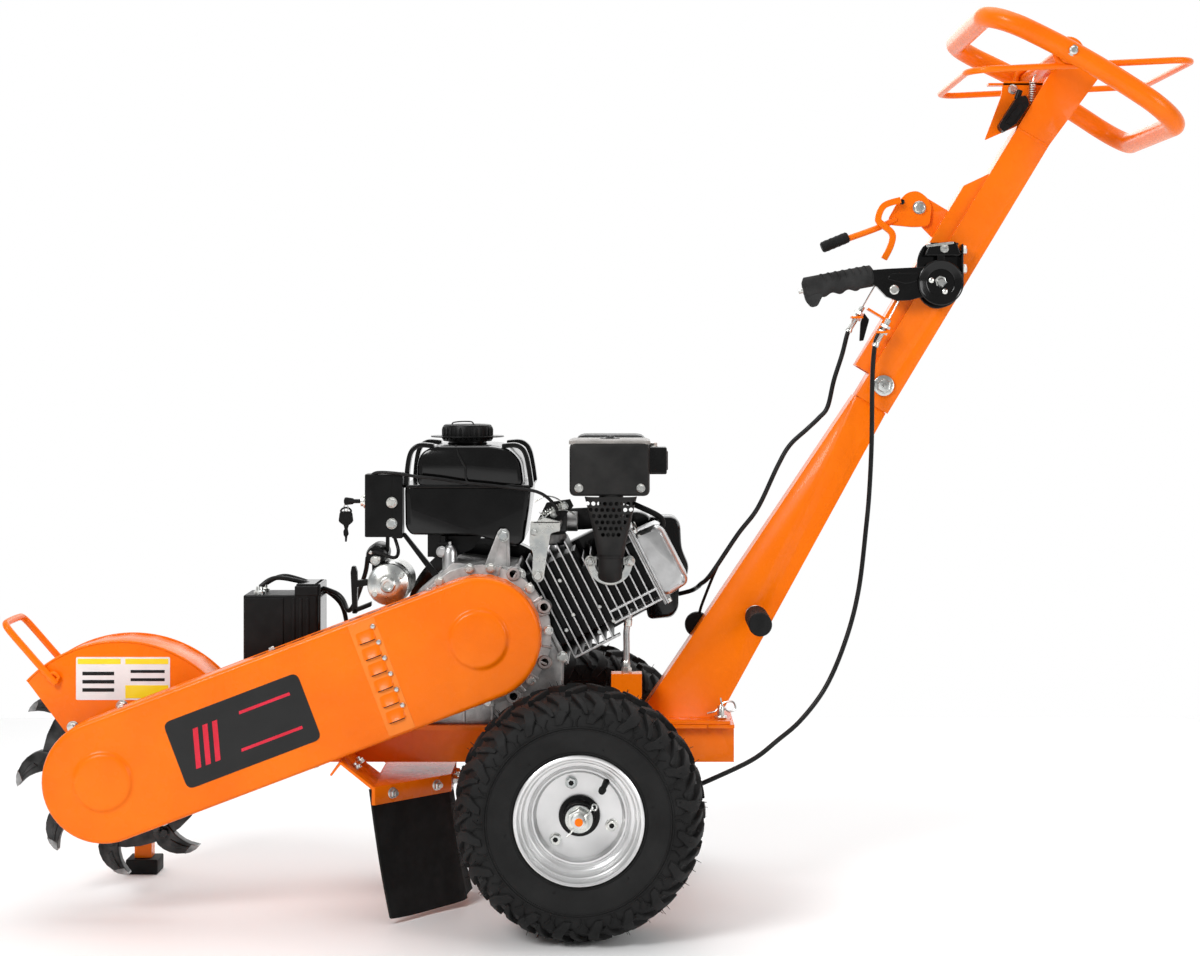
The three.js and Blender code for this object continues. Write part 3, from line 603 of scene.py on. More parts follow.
def tread(middle_y):
    """Chevron lugs of both shoulders, with the thin ribs that run on down the sidewall."""
    shells = []
    pitch = 2 * math.pi / TREAD_PITCHES
    for i in range(TREAD_PITCHES):
        for side in (-1, 1):
            angle = i * pitch + (pitch / 2 if side > 0 else 0)
            shells.append(lug(angle, side, [(2, -5, 15, LUG_HEIGHT), (18, 4, 15, LUG_HEIGHT),
                                            (34, 15, 14, LUG_HEIGHT), (43, 17, 12, LUG_HEIGHT - 0.5)]))
            shells.append(lug(angle + pitch / 2, side, [(47, 14, 17, LUG_HEIGHT), (64, 4, 18, LUG_HEIGHT),
                                                        (80, -6, 19, LUG_HEIGHT - 1), (94, -4, 21, 7.5),
                                                        (104, 4, 20, 5.5), (112, 9, 16, 3)]))
            shells.append(lug(angle, side, [(56, 8, 11, LUG_HEIGHT - 1), (72, 1, 12, LUG_HEIGHT - 1),
                                            (88, -9, 12, 6.5), (98, -14, 8, 4)]))
            shells.append(lug(angle, side, [(101, -2, 4, 2.6), (110, 5, 4, 2.6), (118, 3, 3.5, 1.8)]))
            shells.append(lug(angle + pitch * 0.28, side, [(96, 2, 3.5, 2.6), (107, -5, 3.5, 2.4),
                                                           (120, -3, 3, 1.6)]))
    return [([(x, y + middle_y, z) for x, y, z in points], faces) for points, faces in shells]


def rubber_hairs(middle_y, seed):
    """Moulding hairs that stand off the lugs, none where the tyre meets the ground."""
    draw = random.Random(seed)
    shells = []
    for _ in range(170):
        angle = draw.uniform(-math.pi * 0.42, math.pi * 1.42)
        distance = draw.uniform(30, 112)
        side = draw.choice((-1, 1))
        (r, y), (normal_r, normal_y) = carcass_at(distance)
        length = draw.uniform(12.5, 18)
        lean = draw.uniform(-0.25, 0.25)
        ends = []
        for lift in (4, length):
            radius, turn = r + normal_r * lift, angle + lean * lift / CROWN_R
            ends.append((WHEEL[0] + radius * math.cos(turn), middle_y + side * (y + normal_y * lift * 0.7),
                         WHEEL[1] + radius * math.sin(turn)))
        shells.append(lathe(ends[0], Vector(ends[1]) - Vector(ends[0]), [(0.8, 0), (0.35, length - 4)], 5))
    return shells


def make_tyre(name, side, body):
    """Carcass with sidewall beads and pips, tread blocks and moulding hairs."""
    middle = side * WHEEL_Y
    outer = [(r, y) for r, y in CARCASS]
    whole = [(r, -y) for r, y in reversed(outer[1:])] + outer
    inside = [(r - 5, y * 0.9) for r, y in reversed(outer[3:8])] + [(r - 5, -y * 0.9) for r, y in outer[3:8]]
    origin = (WHEEL[0], middle, WHEEL[1])
    shells = [lathe(origin, FAR, whole + inside, 128, closed=True)]
    for radius, height in ((CROWN_R - 44, 98.2), (CROWN_R - 47.5, 97.6), (CROWN_R - 86, 86.4)):
        for sign in (-1, 1):
            bead = [(radius + dr, sign * (height + dy)) for dr,
                    dy in ((-1.4, -2), (-0.6, 0.4), (0.6, 0.4), (1.4, -2))]
            shells.append(lathe(origin, FAR, bead, 128, closed=True))
    for i in range(12):
        angle = math.radians(30 * i + 11)
        radius = CROWN_R - 76 + 4 * (i % 2)
        pip = (WHEEL[0] + radius * math.cos(angle), middle + side * 89, WHEEL[1] + radius * math.sin(angle))
        shells.append(lathe(pip, (0, side, 0), [(1.6, 0), (1.6, 2.6), (1.1, 3.1)], 10))
    shells += tread(middle)
    shells += rubber_hairs(middle, 5 + side)
    piece(name + "_tread", shells, TYRE, body, replaces=(name,))


def make_wheel(name, side, body):
    """Pressed steel rim with stepped rings, black hub, nuts, washer and valve."""
    origin = (WHEEL[0], side * WHEEL_Y, WHEEL[1])
    out = (0, side, 0)
    face = [(24, 33), (24, 35.5), (65, 35.5), (68.5, 36.5), (70, 40), (71.5, 46), (73.5, 48.4), (76, 48.4),
            (77.2, 46.4),
            (78.4, 45.6), (80, 47), (81.4, 54), (83, 58.6), (85.6, 60), (88, 60.4), (89.4, 64), (90.4, 70),
            (92, 73),
            (94.4, 74), (95.4, 77), (96.4, 83), (98.5, 87.8), (101.5, 88.6),
            (103.6, 87.4), (104.2, 84.8), (102.8, 83.2), (100, 82.6), (97.6, 80), (96.2, 76), (96, 60),
            (95, 0),
            (95, -60), (96, -76), (98, -80.5), (102.5, -83), (104.2, -85.5), (103, -88), (99.5, -88.6),
            (95, -86), (92, -80), (91, -60), (90, 0), (84, 48), (78, 41), (74, 42), (71, 32.6), (66, 31.6),
            (24, 31.6)]
    piece(name + "_rim", [lathe(origin, out, face, 128, closed=True)], SILVER, body, replaces=(name,))
    hub = [(13.2, 36), (31, 36), (33, 37.6), (33, 41), (31.5, 42.6), (26.5, 43.4), (25.4, 45), (25, 64),
           (23.6, 66),
           (13.2, 66)]
    back = [(13.2, -98), (24, -98), (24, -104), (61, -104), (62, -102), (62, 29), (24, 31), (13.2, 31)]
    piece(name + "_hub", [lathe(origin, out, hub, 64, closed=True),
                          lathe(origin, out, back, 64, closed=True)],
          SATIN_BLACK, body)
    nuts, nut_bore_shades = [], []
    for degrees in (104, -17, -135):
        angle = math.radians(degrees)
        at = (WHEEL[0] + 54 * math.cos(angle), side * (WHEEL_Y + 35.5), WHEEL[1] + 54 * math.sin(angle))
        nuts += [lathe(at, out, ring_profile(5, 10, 0, 1.6), 36, closed=True),
                 lathe(at, out, [(8.6, 1.6), (8.6, 7), (7.6, 8), (4.6, 8), (4.6, 1.6)], 6)]
        # dark fill in each nut's bore: painted shade in the hole
        nut_bore_shades.append(lathe(at, out, [(4.8, 1), (4.8, 4.6), (3.6, 5.6), (0.4, 5.6)], 20))
    piece(name + "_nuts", nuts, ZINC, body)
    piece(name + "_nut_bore_painted_shade", nut_bore_shades, SATIN_BLACK, body)
    angle = math.radians(52)
    low = (WHEEL[0] + 72 * math.cos(angle), side * (WHEEL_Y + 42), WHEEL[1] + 72 * math.sin(angle))
    high = (WHEEL[0] + 61 * math.cos(angle), side * (WHEEL_Y + 74), WHEEL[1] + 61 * math.sin(angle))
    top = tuple(Vector(high) + (Vector(high) - Vector(low)).normalized() * 9)
    piece(name + "_valve", [bar(low, high, 5.6, 4.2), bar(high, top, 6.2, 5.4)], RUBBER, body)


def make_axle_ends():
    """Washer and split pin beside each axle nut, and the painted end of the axle."""
    low, high = span("axle_shaft", "y")
    for label, side, end in (("near", -1, low), ("far", 1, high)):
        out = (0, side, 0)
        origin = (WHEEL[0], 0, WHEEL[1])
        piece(f"axle_washer_{label}", [washer(origin, out, 12.8, 22, 331.5, 336.5)], ZINC, "chassis")
        piece(f"axle_end_{label}", [lathe((WHEEL[0], end, WHEEL[1]), out, [(6.6, 0), (6.6, 0.6), (5.4, 1.2)],
                                          32)],
              ORANGE, "chassis")
        pin_y = side * 355.5
        legs = [(WHEEL[0] - 19, pin_y, WHEEL[1] - 24), (WHEEL[0] - 9, pin_y, WHEEL[1] - 13),
                (WHEEL[0], pin_y, WHEEL[1]), (WHEEL[0] + 12, pin_y, WHEEL[1] + 10),
                (WHEEL[0] + 17, pin_y + side, WHEEL[1] + 16), (WHEEL[0] + 23, pin_y + side, WHEEL[1] + 23)]
        eye = [(WHEEL[0] + 21, pin_y, WHEEL[1] + 20), (WHEEL[0] + 27, pin_y, WHEEL[1] + 19),
               (WHEEL[0] + 28, pin_y, WHEEL[1] + 26), (WHEEL[0] + 22, pin_y, WHEEL[1] + 27)]
        piece(f"split_pin_{label}", [wire(legs, 1.5, 30, 8), tube(smooth_path(eye, 24, True), 1.4, 8, True)],
              ZINC, "chassis")


for which, sign in (("near", -1), ("far", 1)):
    make_tyre(f"tyre_{which}", sign, f"{which}_wheel")
    make_wheel(f"wheel_{which}", sign, f"{which}_wheel")
make_axle_ends()
dress("axle_shaft", ZINC, 1.0)
dress("axle_tube", ORANGE, 1.5)
dress("brake_band", SATIN_BLACK, 0.6)


# ---------------------------------------------------------------- belt cover
def capsule(radius, count=36):
    """Outline round the two shafts at one radius."""
    lean = math.degrees(COVER_ANGLE)
    return arc(CUTTER, radius, lean + 90, lean + 270, count) + arc(CRANK, radius, lean - 90, lean + 90, count)


def cover_plate(along, across, radius, y):
    """Thin rounded panel lying on the cover's face."""
    corners = [on_cover(a, c) for a, c in ((along[0], across[0]), (along[1], across[0]),
                                           (along[1], across[1]),
                                           (along[0], across[1]))]
    return prism(rounded(corners, radius, 6), y)


def make_cover():
    """Hollow pressed shell of the belt cover with a round boss over each shaft."""
    r, front, back = COVER_R, COVER_FRONT, COVER_BACK
    rings = [(r, back), (r, front + 7), (r - 0.7, front + 4), (r - 2.6, front + 1.4), (r - 5.5, front + 0.2),
             (r - 8.5, front), (r - 12, front)]
    inner = [(r - 3, back), (r - 3, front + 8), (r - 6, front + 3.5), (r - 12, front + 3)]
    outside = loft([flat(capsule(radius), y) for radius, y in rings])
    inside = loft([flat(capsule(radius), y) for radius, y in inner])
    count = len(capsule(r))
    points = outside[0] + inside[0]
    shift = len(outside[0])
    lip = [(j, (j + 1) % count, shift + (j + 1) % count, shift + j) for j in range(count)]
    faces = [f for f in outside[1] if f != tuple(range(count))]
    faces += [tuple(shift + i for i in f) for f in inside[1] if f != tuple(range(count))]
    shells = [(points, faces + lip)]
    boss = [(56, 0.6), (53, 0), (50.5, -0.5), (48.6, -1.8), (47, -3.6), (45.4, -4.9), (43, -5.7), (40, -6),
            (20, -6)]
    for at in (CUTTER, CRANK):
        shells.append(lathe((at[0], front, at[1]), FAR, boss, 72))
    piece("belt_cover_shell", shells, ORANGE, "chassis", replaces=("belt_cover",))


LOUVRE_PITCH = 27.7
LOUVRE_ALONG = (474, 506)
LOUVRE_ROWS = 13
LOUVRE_COLUMNS = 9


def make_louvres():
    """Pressed band across the cover, its orange painted lighter as a painted highlight, with six hooded
    louvres.
    """
    front = COVER_FRONT
    band = cover_plate((468, 514), (5 - COVER_R, COVER_R - 5), 3, (front - 0.7, front + 1))
    # the band's lighter orange is a painted highlight
    piece("cover_band", [band], ORANGE_BAND_PAINTED_LIGHT, "chassis", bevel=0.4)
    hoods, slots, screws = [], [], []
    for i in range(6):
        lower = 62.5 - i * LOUVRE_PITCH
        x, z = on_cover(LOUVRE_ALONG[1] + 1, lower + 20)
        screws.append(lathe((x, front - 0.8, z), NEAR, [(4.4, 0), (4.4, 1.8), (3.2, 3.4), (0.4, 3.7)], 20))
        hood = []
        for a in range(LOUVRE_ROWS):
            along_share = a / (LOUVRE_ROWS - 1)
            side_fall = 1 - abs(2 * along_share - 1) ** 5
            for c in range(LOUVRE_COLUMNS):
                share = c / (LOUVRE_COLUMNS - 1)
                lift = 5.6 * side_fall * (1 - share) ** 1.4
                x, z = on_cover(LOUVRE_ALONG[0] + along_share * 32, lower + share * 19)
                hood.append((x, front - 0.6 - lift, z))
        under = [(x, front + 0.6, z) for x, _, z in hood]
        hoods.append(sheet(hood, under, LOUVRE_ROWS, LOUVRE_COLUMNS))
        # thin dark strip under each hood's lower edge: painted shade standing in for the dark opening beneath
        # the hood
        slots.append(cover_plate((LOUVRE_ALONG[0] + 3, LOUVRE_ALONG[1] - 3), (lower - 1.6, lower - 0.2), 0.5,
                                 (front - 4.2, front)))
    piece("cover_louvres", hoods, ORANGE, "chassis")
    piece("louvre_slot_painted_shade", slots, SATIN_BLACK, "chassis")
    piece("louvre_screws", screws, ZINC, "chassis")


def make_cover_panel():
    """Plain dark panel with three slanted bars and two thin lines, in place of any badge."""
    front = COVER_FRONT
    piece("cover_panel", [cover_plate((127, 363), (-61, 56), 13, (front - 0.9, front + 0.5))], GLOSS_BLACK,
          "chassis", bevel=0.3)
    bars = []
    for i in range(3):
        foot = 152 + i * 17
        corners = [(foot, -34), (foot + 9, -34), (foot + 27, 30), (foot + 18, 30)]
        bars.append(prism([on_cover(a, c) for a, c in corners], (front - 1.3, front - 0.6)))
    for low, high, start in ((-34, -29, 232), (25, 30, 250)):
        corners = [(start, low), (340, low), (340, high), (start + 1.5, high)]
        bars.append(prism([on_cover(a, c) for a, c in corners], (front - 1.3, front - 0.6)))
    piece("cover_panel_stripes", bars, STRIPE_RED, "chassis")


def make_cover_edge():
    """Vent slots, drawn as thin dark strips of painted shade, and bolt heads on the rim of the cover."""
    slots = []
    for side in (1, -1):
        for i in range(9):
            along = 300 + i * 34
            corners = [on_cover(a, side * (COVER_R + lift)) for a, lift in
                       ((along, -0.6), (along + 22, -0.6), (along + 22, 0.35), (along, 0.35))]
            # each vent is a thin dark strip across the rim: painted shade where the opening is
            slots.append(prism(corners, (COVER_FRONT + 22, COVER_FRONT + 34)))
    piece("cover_vent_painted_shade", slots, SATIN_BLACK, "chassis", bevel=0.2)
    bolts = []
    for along in (60, 330, 610):
        for side in (1, -1):
            x, z = on_cover(along, side * COVER_R)
            out = (math.cos(COVER_ANGLE + side * math.pi / 2), 0, math.sin(COVER_ANGLE + side * math.pi / 2))
            bolts += hex_bolt((x, COVER_BACK - 14, z), out, 6, 4)
    piece("cover_bolts", bolts, ZINC, "chassis")


make_cover()
make_louvres()
make_cover_panel()
make_cover_edge()
dress("belt_backplate", ORANGE, 0.8)
dress("drive_belt", RUBBER, 0.8)
dress("cutter_pulley", STEEL, 0.8)
dress("engine_pulley", STEEL, 0.8)


# ---------------------------------------------------------------- cutter, guard and prop stand
TOOTH_COUNT = 9
FIRST_TOOTH = math.radians(178)


def make_tooth(index):
    """Hooked cast claw with a ground tip and a bolt through its cheeks."""
    node = f"cutter_tooth_{index + 1}"
    angle = FIRST_TOOTH + 2 * math.pi * index / TOOTH_COUNT
    edge = [(113, -13), (112, 0), (113, 11), (128, 15), (142, 18), (154, 22), (165, 27.5), (174, 34.5),
            (180, 41),
            (184, 45), (186.5, 38), (186.8, 28), (184.5, 17), (179, 5), (171, -4.5), (161, -12), (149, -17),
            (130, -16)]

    def at(r, q):
        return turned_point(CUTTER, angle, r, q)

    layers = ((-16, 0.12), (-14.6, 0.03), (-12, 0), (2, 0), (4.6, 0.03), (6, 0.12))
    claw = pillow([at(r, q) for r, q in edge], at(150, 4), layers)
    piece(f"{node}_claw", [claw], STEEL, "cutter", replaces=(node,))
    ridge = [(150, 8), (160, 14), (170, 22), (178, 31), (176, 22), (168, 10), (158, 3)]
    tip = [(176, 35.5), (184.6, 46), (187.2, 38), (187.4, 27), (184.8, 17), (180, 25)]
    piece(f"{node}_edge", [prism([at(r, q) for r, q in tip], (-16.4, 6.4))], GROUND_EDGE, "cutter", bevel=0.8)
    rib = prism([at(r, q) for r, q in ridge], (-18.4, 8.4))
    bolts = []
    for r, q in ((122, -4), (136, 4)):
        x, z = at(r, q)
        bolts += hex_bolt((x, -15.5, z), NEAR, 9, 6)
        bolts += hex_bolt((x, 5.5, z), FAR, 9, 6)
    piece(f"{node}_rib", [rib], STEEL, "cutter", bevel=1.6)
    piece(f"{node}_bolts", bolts, STEEL, "cutter")


def make_guard_extras():
    """Rolled edges, one plain label plate and the bolts of the cutter guard."""
    near, far = span("cutter_guard", "y")
    guard_r = span("cutter_guard", "z")[1] - CUTTER[1]
    for label, y in (("near", near + 0.6), ("far", far - 0.6)):
        path = [Vector((x, y, z)) for x, z in arc(CUTTER, guard_r - 0.6, 20, 136.6, 60)]
        piece(f"guard_bead_{label}", [tube(path, 2.2, 12)], ORANGE, "chassis")
    label_x, label_z = (-861, -701), (352, 425)
    sheet = (near - 0.6, near + 0.3)
    front = (near - 0.95, near - 0.3)
    plate = rounded([(label_x[0], label_z[0]), (label_x[1], label_z[0]), (label_x[1], label_z[1]),
                     (label_x[0], label_z[1])], 3)
    piece("guard_label", [prism(plate, sheet)], LABEL_WHITE, "chassis")
    yellow = [box((label_x[0] + 3, -785), front, (413, 422)), box((-777, label_x[1] - 3), front, (413, 422)),
              box((-777, label_x[1] - 3), front, (355, 377))]
    piece("guard_label_bands", yellow, LABEL_YELLOW, "chassis")
    marks = [box((-850, -796), front, (z, z + 6)) for z in (366, 380, 394)]
    marks += [box((-768, -710), front, (z, z + 5)) for z in (384, 398)]
    piece("guard_label_marks", marks, LABEL_GREY, "chassis")
    bolts = []
    for x, z in ((-782.8, 341.5), (-866.3, 305.8), (-700, 300), (-640, 268)):
        bolts += stud((x, near, z), NEAR, 10, 5)
        bolts += stud((x, far, z), FAR, 10, 5)
    piece("guard_bolts", bolts, ZINC, "chassis")


def make_lift_handle():
    """Bent rod across the front of the guard, with an eye at each end."""
    near, far = span("cutter_guard", "y")
    near, far = near - 6.4, far + 6.4
    side = [(-893, 0, 380), (-905, 0, 393.4), (-925, 0, 415.5), (-945, 0, 438.5), (-962, 0, 458),
            (-975, 2, 473), (-981, 9, 480), (-982.5, 22, 482)]
    points = [(x, near + inward, z) for x, inward, z in side] + [(-983, (near + far) / 2, 482.6)]
    points += [(x, far - inward, z) for x, inward, z in reversed(side)]
    shells = [wire(points, 6, 120, 20)]
    for y in (near, far):
        shells.append(tube(smooth_path([(-897, y, 384), (-908, y, 390), (-899, y, 399), (-889, y, 391)], 24,
                                       True),
                           3.2, 10, True))
    piece("lift_handle_rod", shells, ORANGE, "chassis", replaces=("lift_handle",))


LEG_HOLES = 7
LEG_HOLE_PITCH = 32


def make_stand():
    """Row of holes in the prop stand's leg, drawn as dark discs of painted shade, and the pin with its ring
    that holds it.
    """
    x = sum(span("stand_leg", "x")) / 2
    y = sum(span("stand_leg", "y")) / 2
    holes = []
    for i in range(LEG_HOLES):
        z = 70 + i * LEG_HOLE_PITCH
        # each hole is a thin dark disc on the leg's face: painted shade
        holes.append(lathe((x, y - 15.3, z), NEAR, [(4.4, 0), (4.4, 0.7)], 20))
        holes.append(lathe((x, y + 15.3, z), FAR, [(4.4, 0), (4.4, 0.7)], 20))
    piece("stand_leg_hole_shade", holes, SATIN_BLACK, "stand")
    pin = [bar((x, y - 34, 274), (x, y + 28, 274), 4, segments=16)]
    pin.append(tube(smooth_path([(x, y - 31, 277), (x + 16, y - 34, 262), (x, y - 36, 246),
                                 (x - 16, y - 34, 262)],
                                36, True), 1.3, 8, True))
    piece("stand_pin", pin, ZINC, "chassis")


for number in range(TOOTH_COUNT):
    make_tooth(number)
make_guard_extras()
make_lift_handle()
make_stand()
dress("cutter_guard", ORANGE, 0.8)
dress("cutter_disc", STEEL, 0.8)
dress("cutter_shaft", ZINC, 0.8)
dress("shaft_bearing_near", STEEL, 2)
dress("shaft_bearing_far", STEEL, 2)
dress("stand_arm", ORANGE, 1.2)
dress("stand_leg", ORANGE, 1.2)
dress("stand_foot", RUBBER, 2.5, 3)


# ---------------------------------------------------------------- chassis, deflector and flap
FLAP_LEAN = 28    # how far its lower edge trails behind the CAD sheet
FLAP_HALF = 2.4   # half its thickness


def make_flap():
    """Rubber skirt: hangs from the deflector's rim, with a soft wave and a slightly curled lower edge."""
    low, high = span("rubber_flap", "z")
    half = [(-233, 30), (-236, 52), (-252, 77), (-300, 129), (-348.5, 180)]
    plan = smooth_path([(x, -y, 0) for x, y in reversed(half)] + [(x, y, 0) for x, y in half], 64)
    rows = 26
    columns = len(plan)
    front, back = [], []
    for i in range(rows):
        share = i / (rows - 1)
        z = high + (low - high) * share
        for j, point in enumerate(plan):
            ahead = plan[min(j + 1, columns - 1)] - plan[max(j - 1, 0)]
            out = Vector((ahead.y, -ahead.x, 0)).normalized()
            wave = 3.2 * share ** 2 * math.sin(j * 0.33 + 1.2 * share) + 7 * share ** 3
            edge_drop = 2.5 * math.sin(j * 0.21) * share
            here = point + out * wave + Vector((FLAP_LEAN * share, 0, 0))
            front.append((here.x + out.x * FLAP_HALF, here.y + out.y * FLAP_HALF, z - edge_drop))
            back.append((here.x - out.x * FLAP_HALF, here.y - out.y * FLAP_HALF, z - edge_drop))
    piece("rubber_skirt", [sheet(front, back, rows, columns)], RUBBER, "chassis", replaces=("rubber_flap",))


def make_chassis_bolts():
    """Bolts of the deflector, engine plate, battery tray and beam."""
    bolts = []
    for share in (0.22, 0.8):
        x, y = -339 + 117 * share, -185 + 123 * share
        for side in (-1, 1):
            bolts += stud((x, -y * side, 212), (0.724, 0.689 * side, 0), 9, 5)
    for y in (-34, 34):
        bolts += stud((-221.6, y, 212), (1, 0, 0), 9, 5)
    for side in (-1, 1):
        bolts += stud((-372, side * 92, 249.5), (-0.5, 0, 0.85), 9, 5)
        bolts += stud((-372, side * 150, 249.5), (-0.5, 0, 0.85), 9, 5)
    for x in (-290, -40):
        for y in (-100, 112):
            bolts += hex_bolt((x, y, 319), UP, 9, 6)
    for x in (-570, -480):
        bolts += hex_bolt((x + 10, -41, 340), NEAR, 8, 5)
    for x in (-560, -420, 60):
        bolts += hex_bolt((x, -60, 280), NEAR, 10, 6)
        bolts += hex_bolt((x, 60, 280), FAR, 10, 6)
    piece("chassis_bolts", bolts, ZINC, "chassis")
    seams = []
    for y in (-60.5, 60.5):
        path = [Vector((-30 + 60 * i / 40, y + 0.5 * math.sin(i * 2.1), 245.6 + 0.5 * math.cos(i * 1.7)))
                for i in range(41)]
        seams.append(tube(path, 2.4, 8))
    piece("axle_welds", seams, ORANGE, "chassis")


make_flap()
make_chassis_bolts()
dress("chassis_beam", ORANGE, 1.4)
dress("deflector_plate", ORANGE, 1.2)


# ---------------------------------------------------------------- engine
def cylinder_plate(corners, y):
    """Prism whose outline is given along and across the cylinder."""
    return prism([on_cylinder(u, v) for u, v in corners], y)


def make_crankcase_extras():
    """Ribs, bosses, bolts, the oil filler and the lifting tab of the crankcase."""
    low = span("crankcase", "y")[0]
    ribs = []
    for degrees in range(-80, 75, 14):
        x0, z0 = turned_point(CRANK, math.radians(degrees), 104, 0)
        x1, z1 = turned_point(CRANK, math.radians(degrees), 121, 0)
        wide = Vector((z0 - z1, 0, x1 - x0)).normalized() * 2.2
        ribs.append(prism([(x0 - wide.x, z0 - wide.z), (x1 - wide.x, z1 - wide.z), (x1 + wide.x, z1 + wide.z),
                           (x0 + wide.x, z0 + wide.z)], (low - 1.5, low + 12)))
    for i in range(6):
        ribs.append(box((-296 + i * 48, -291 + i * 48), (-116, -111.5), (322, 380)))
    piece("crankcase_ribs", ribs, ALUMINIUM, "chassis", bevel=1.2)
    bosses, bore_shades, bolts = [], [], []
    for degrees in (24, -23, -62, 62):
        x, z = turned_point(CRANK, math.radians(degrees), 116, 0)
        bosses.append(lathe((x, low + 8, z), NEAR, [(13, 0), (12, 9), (10.6, 11), (6.6, 11), (6.4, 4)], 36))
        # dark disc deep in each boss's bore: painted shade inside the bolt hole
        bore_shades.append(lathe((x, low + 3, z), NEAR, [(6.6, 0), (6.6, 3)], 24))
    for degrees in (4, -42, 44, 82, 100, 128, -84, 150):
        x, z = turned_point(CRANK, math.radians(degrees), 113, 0)
        bolts += hex_bolt((x, low, z), NEAR, 8, 6)
    for u, v in ((104, -96), (104, 60)):
        x, z = on_cylinder(u, v)
        bolts += hex_bolt((x, -112, z), NEAR, 9, 6)
    piece("crankcase_bosses", bosses, ALUMINIUM, "chassis")
    piece("boss_bore_painted_shade", bore_shades, SATIN_BLACK, "chassis")
    piece("crankcase_bolts", bolts, ZINC, "chassis")
    plug = [lathe((-223, -84, 566), UP, [(17, 0), (17, 6), (12.6, 9), (12, 38), (10, 46), (6, 51), (3, 52.6),
                                         (3, 57), (0.4, 58)],
                  40)]
    plug += hex_bolt((-237, -84, 606), NEAR, 9, 6)
    piece("oil_filler", plug, CHROME, "chassis")
    tab = [(-168, 573), (-120, 573), (-122, 640), (-127, 646), (-137, 646), (-142, 640)]
    rim = [(-150, 580), (-126, 580), (-127, 624), (-138, 624)]
    piece("lifting_tab", [prism(tab, (-96, -88)), box((-172, -116), (-104, -80), (562, 576))], ALUMINIUM,
          "chassis",
          bevel=1.5)
    piece("lifting_tab_web", [prism(rim, (-97.6, -95))], ALUMINIUM, "chassis", bevel=1.2)
    piece("lifting_tab_bolt", hex_bolt((-132, -96, 634), NEAR, 10, 7), ZINC, "chassis")


FIN_STEP = 14.6
FIN_THICKNESS = 3.0
FIN_COUNT = 14
FIRST_FIN = 104


def make_cylinder():
    """Finned cylinder and head: dark core, thin fins and ribs, flanges at both ends, and studs."""
    fins = []
    for i in range(FIN_COUNT):
        u = FIRST_FIN + i * FIN_STEP
        top = 74 if u < 200 else 36
        bottom = -111 if u < 205 else -90
        corners = rounded([(u, bottom), (u + FIN_THICKNESS, bottom), (u + FIN_THICKNESS, top), (u, top)], 1,
                          1)
        fins.append(cylinder_plate(corners, (-80, 78)))
    for start, stop, v in ((206, 298, -90), (206, 298, -70), (120, 206, -111.5)):
        fins.append(cylinder_plate([(start, v), (stop, v), (stop, v + 3.4), (start, v + 3.4)], (-82, -60)))
    piece("cylinder_fins", fins, FIN, "chassis", bevel=0.5, replaces=("cylinder_block",))
    core = [cylinder_plate([(100.6, -84), (300, -84), (300, 20), (200, 20), (200, 52), (100.6, 52)],
                           (-62, 62))]
    piece("cylinder_core", core, SATIN_BLACK, "chassis", bevel=2)
    flange = [cylinder_plate([(100.6, -114), (106, -114), (106, 76), (100.6, 76)], (-84, 82)),
              cylinder_plate([(296, -100), (300, -100), (300, 38), (296, 38)], (-76, 74))]
    piece("cylinder_flange", flange, ALUMINIUM, "chassis", bevel=1)
    studs = []
    for u, v in ((128, 52), (156, 18), (150, -44), (196, -52), (206, -84), (176, -90), (128, -62)):
        x, z = on_cylinder(u, v)
        studs.append(lathe((x, -79, z), NEAR, [(3.4, 0), (3.4, 3.4), (2.6, 4.2), (0.4, 4.2)], 20))
    piece("cylinder_studs", studs, ZINC, "chassis")


def make_valve_cover():
    """Pressed bowl on a flange, four bolts and the breather hose."""
    bowl = [(303.5, -92), (345, -88), (352, -78), (352, 16), (345, 28), (303.5, 31)]
    rings = []
    for y, inset in ((-62, 9), (-58.5, 4), (-52, 0.8), (-44, 0), (42, 0), (50, 0.8), (56.5, 4), (60, 9)):
        ring = [(303.5 if u < 304 else u - inset * 0.9, v + inset * (0.9 if v < -30 else -0.9)) for u,
                v in bowl]
        outline = [on_cylinder(u, v) for u, v in rounded(ring, 10, 6)]
        rings.append(flat(outline, y))
    piece("valve_cover_bowl", [loft(rings)], CHROME, "chassis", replaces=("valve_cover",))
    plate = [cylinder_plate(rounded([(300.6, -101), (304.4, -101), (304.4, 40), (300.6, 40)], 1, 2),
                            (-71, 69))]
    piece("valve_cover_flange", plate, CHROME, "chassis", bevel=0.8)
    along = (math.cos(CYLINDER_TILT), 0, math.sin(CYLINDER_TILT))
    bolts = []
    for v, y in ((-95, -64), (35, -64), (-95, 62), (35, 62)):
        x, z = on_cylinder(304, v)
        bolts += hex_bolt((x, y, z), along, 7, 5)
    piece("valve_cover_bolts", bolts, ZINC, "chassis")
    breather = [on_cylinder(345, 10), on_cylinder(356, 30), on_cylinder(330, 66)]
    path = [(breather[0][0], -20, breather[0][1]), (breather[1][0], -20, breather[1][1]),
            (breather[2][0], -10, breather[2][1]), (60, 30, 690)]
    piece("breather_hose", [wire(path, 5, 40, 16)], RUBBER, "chassis")


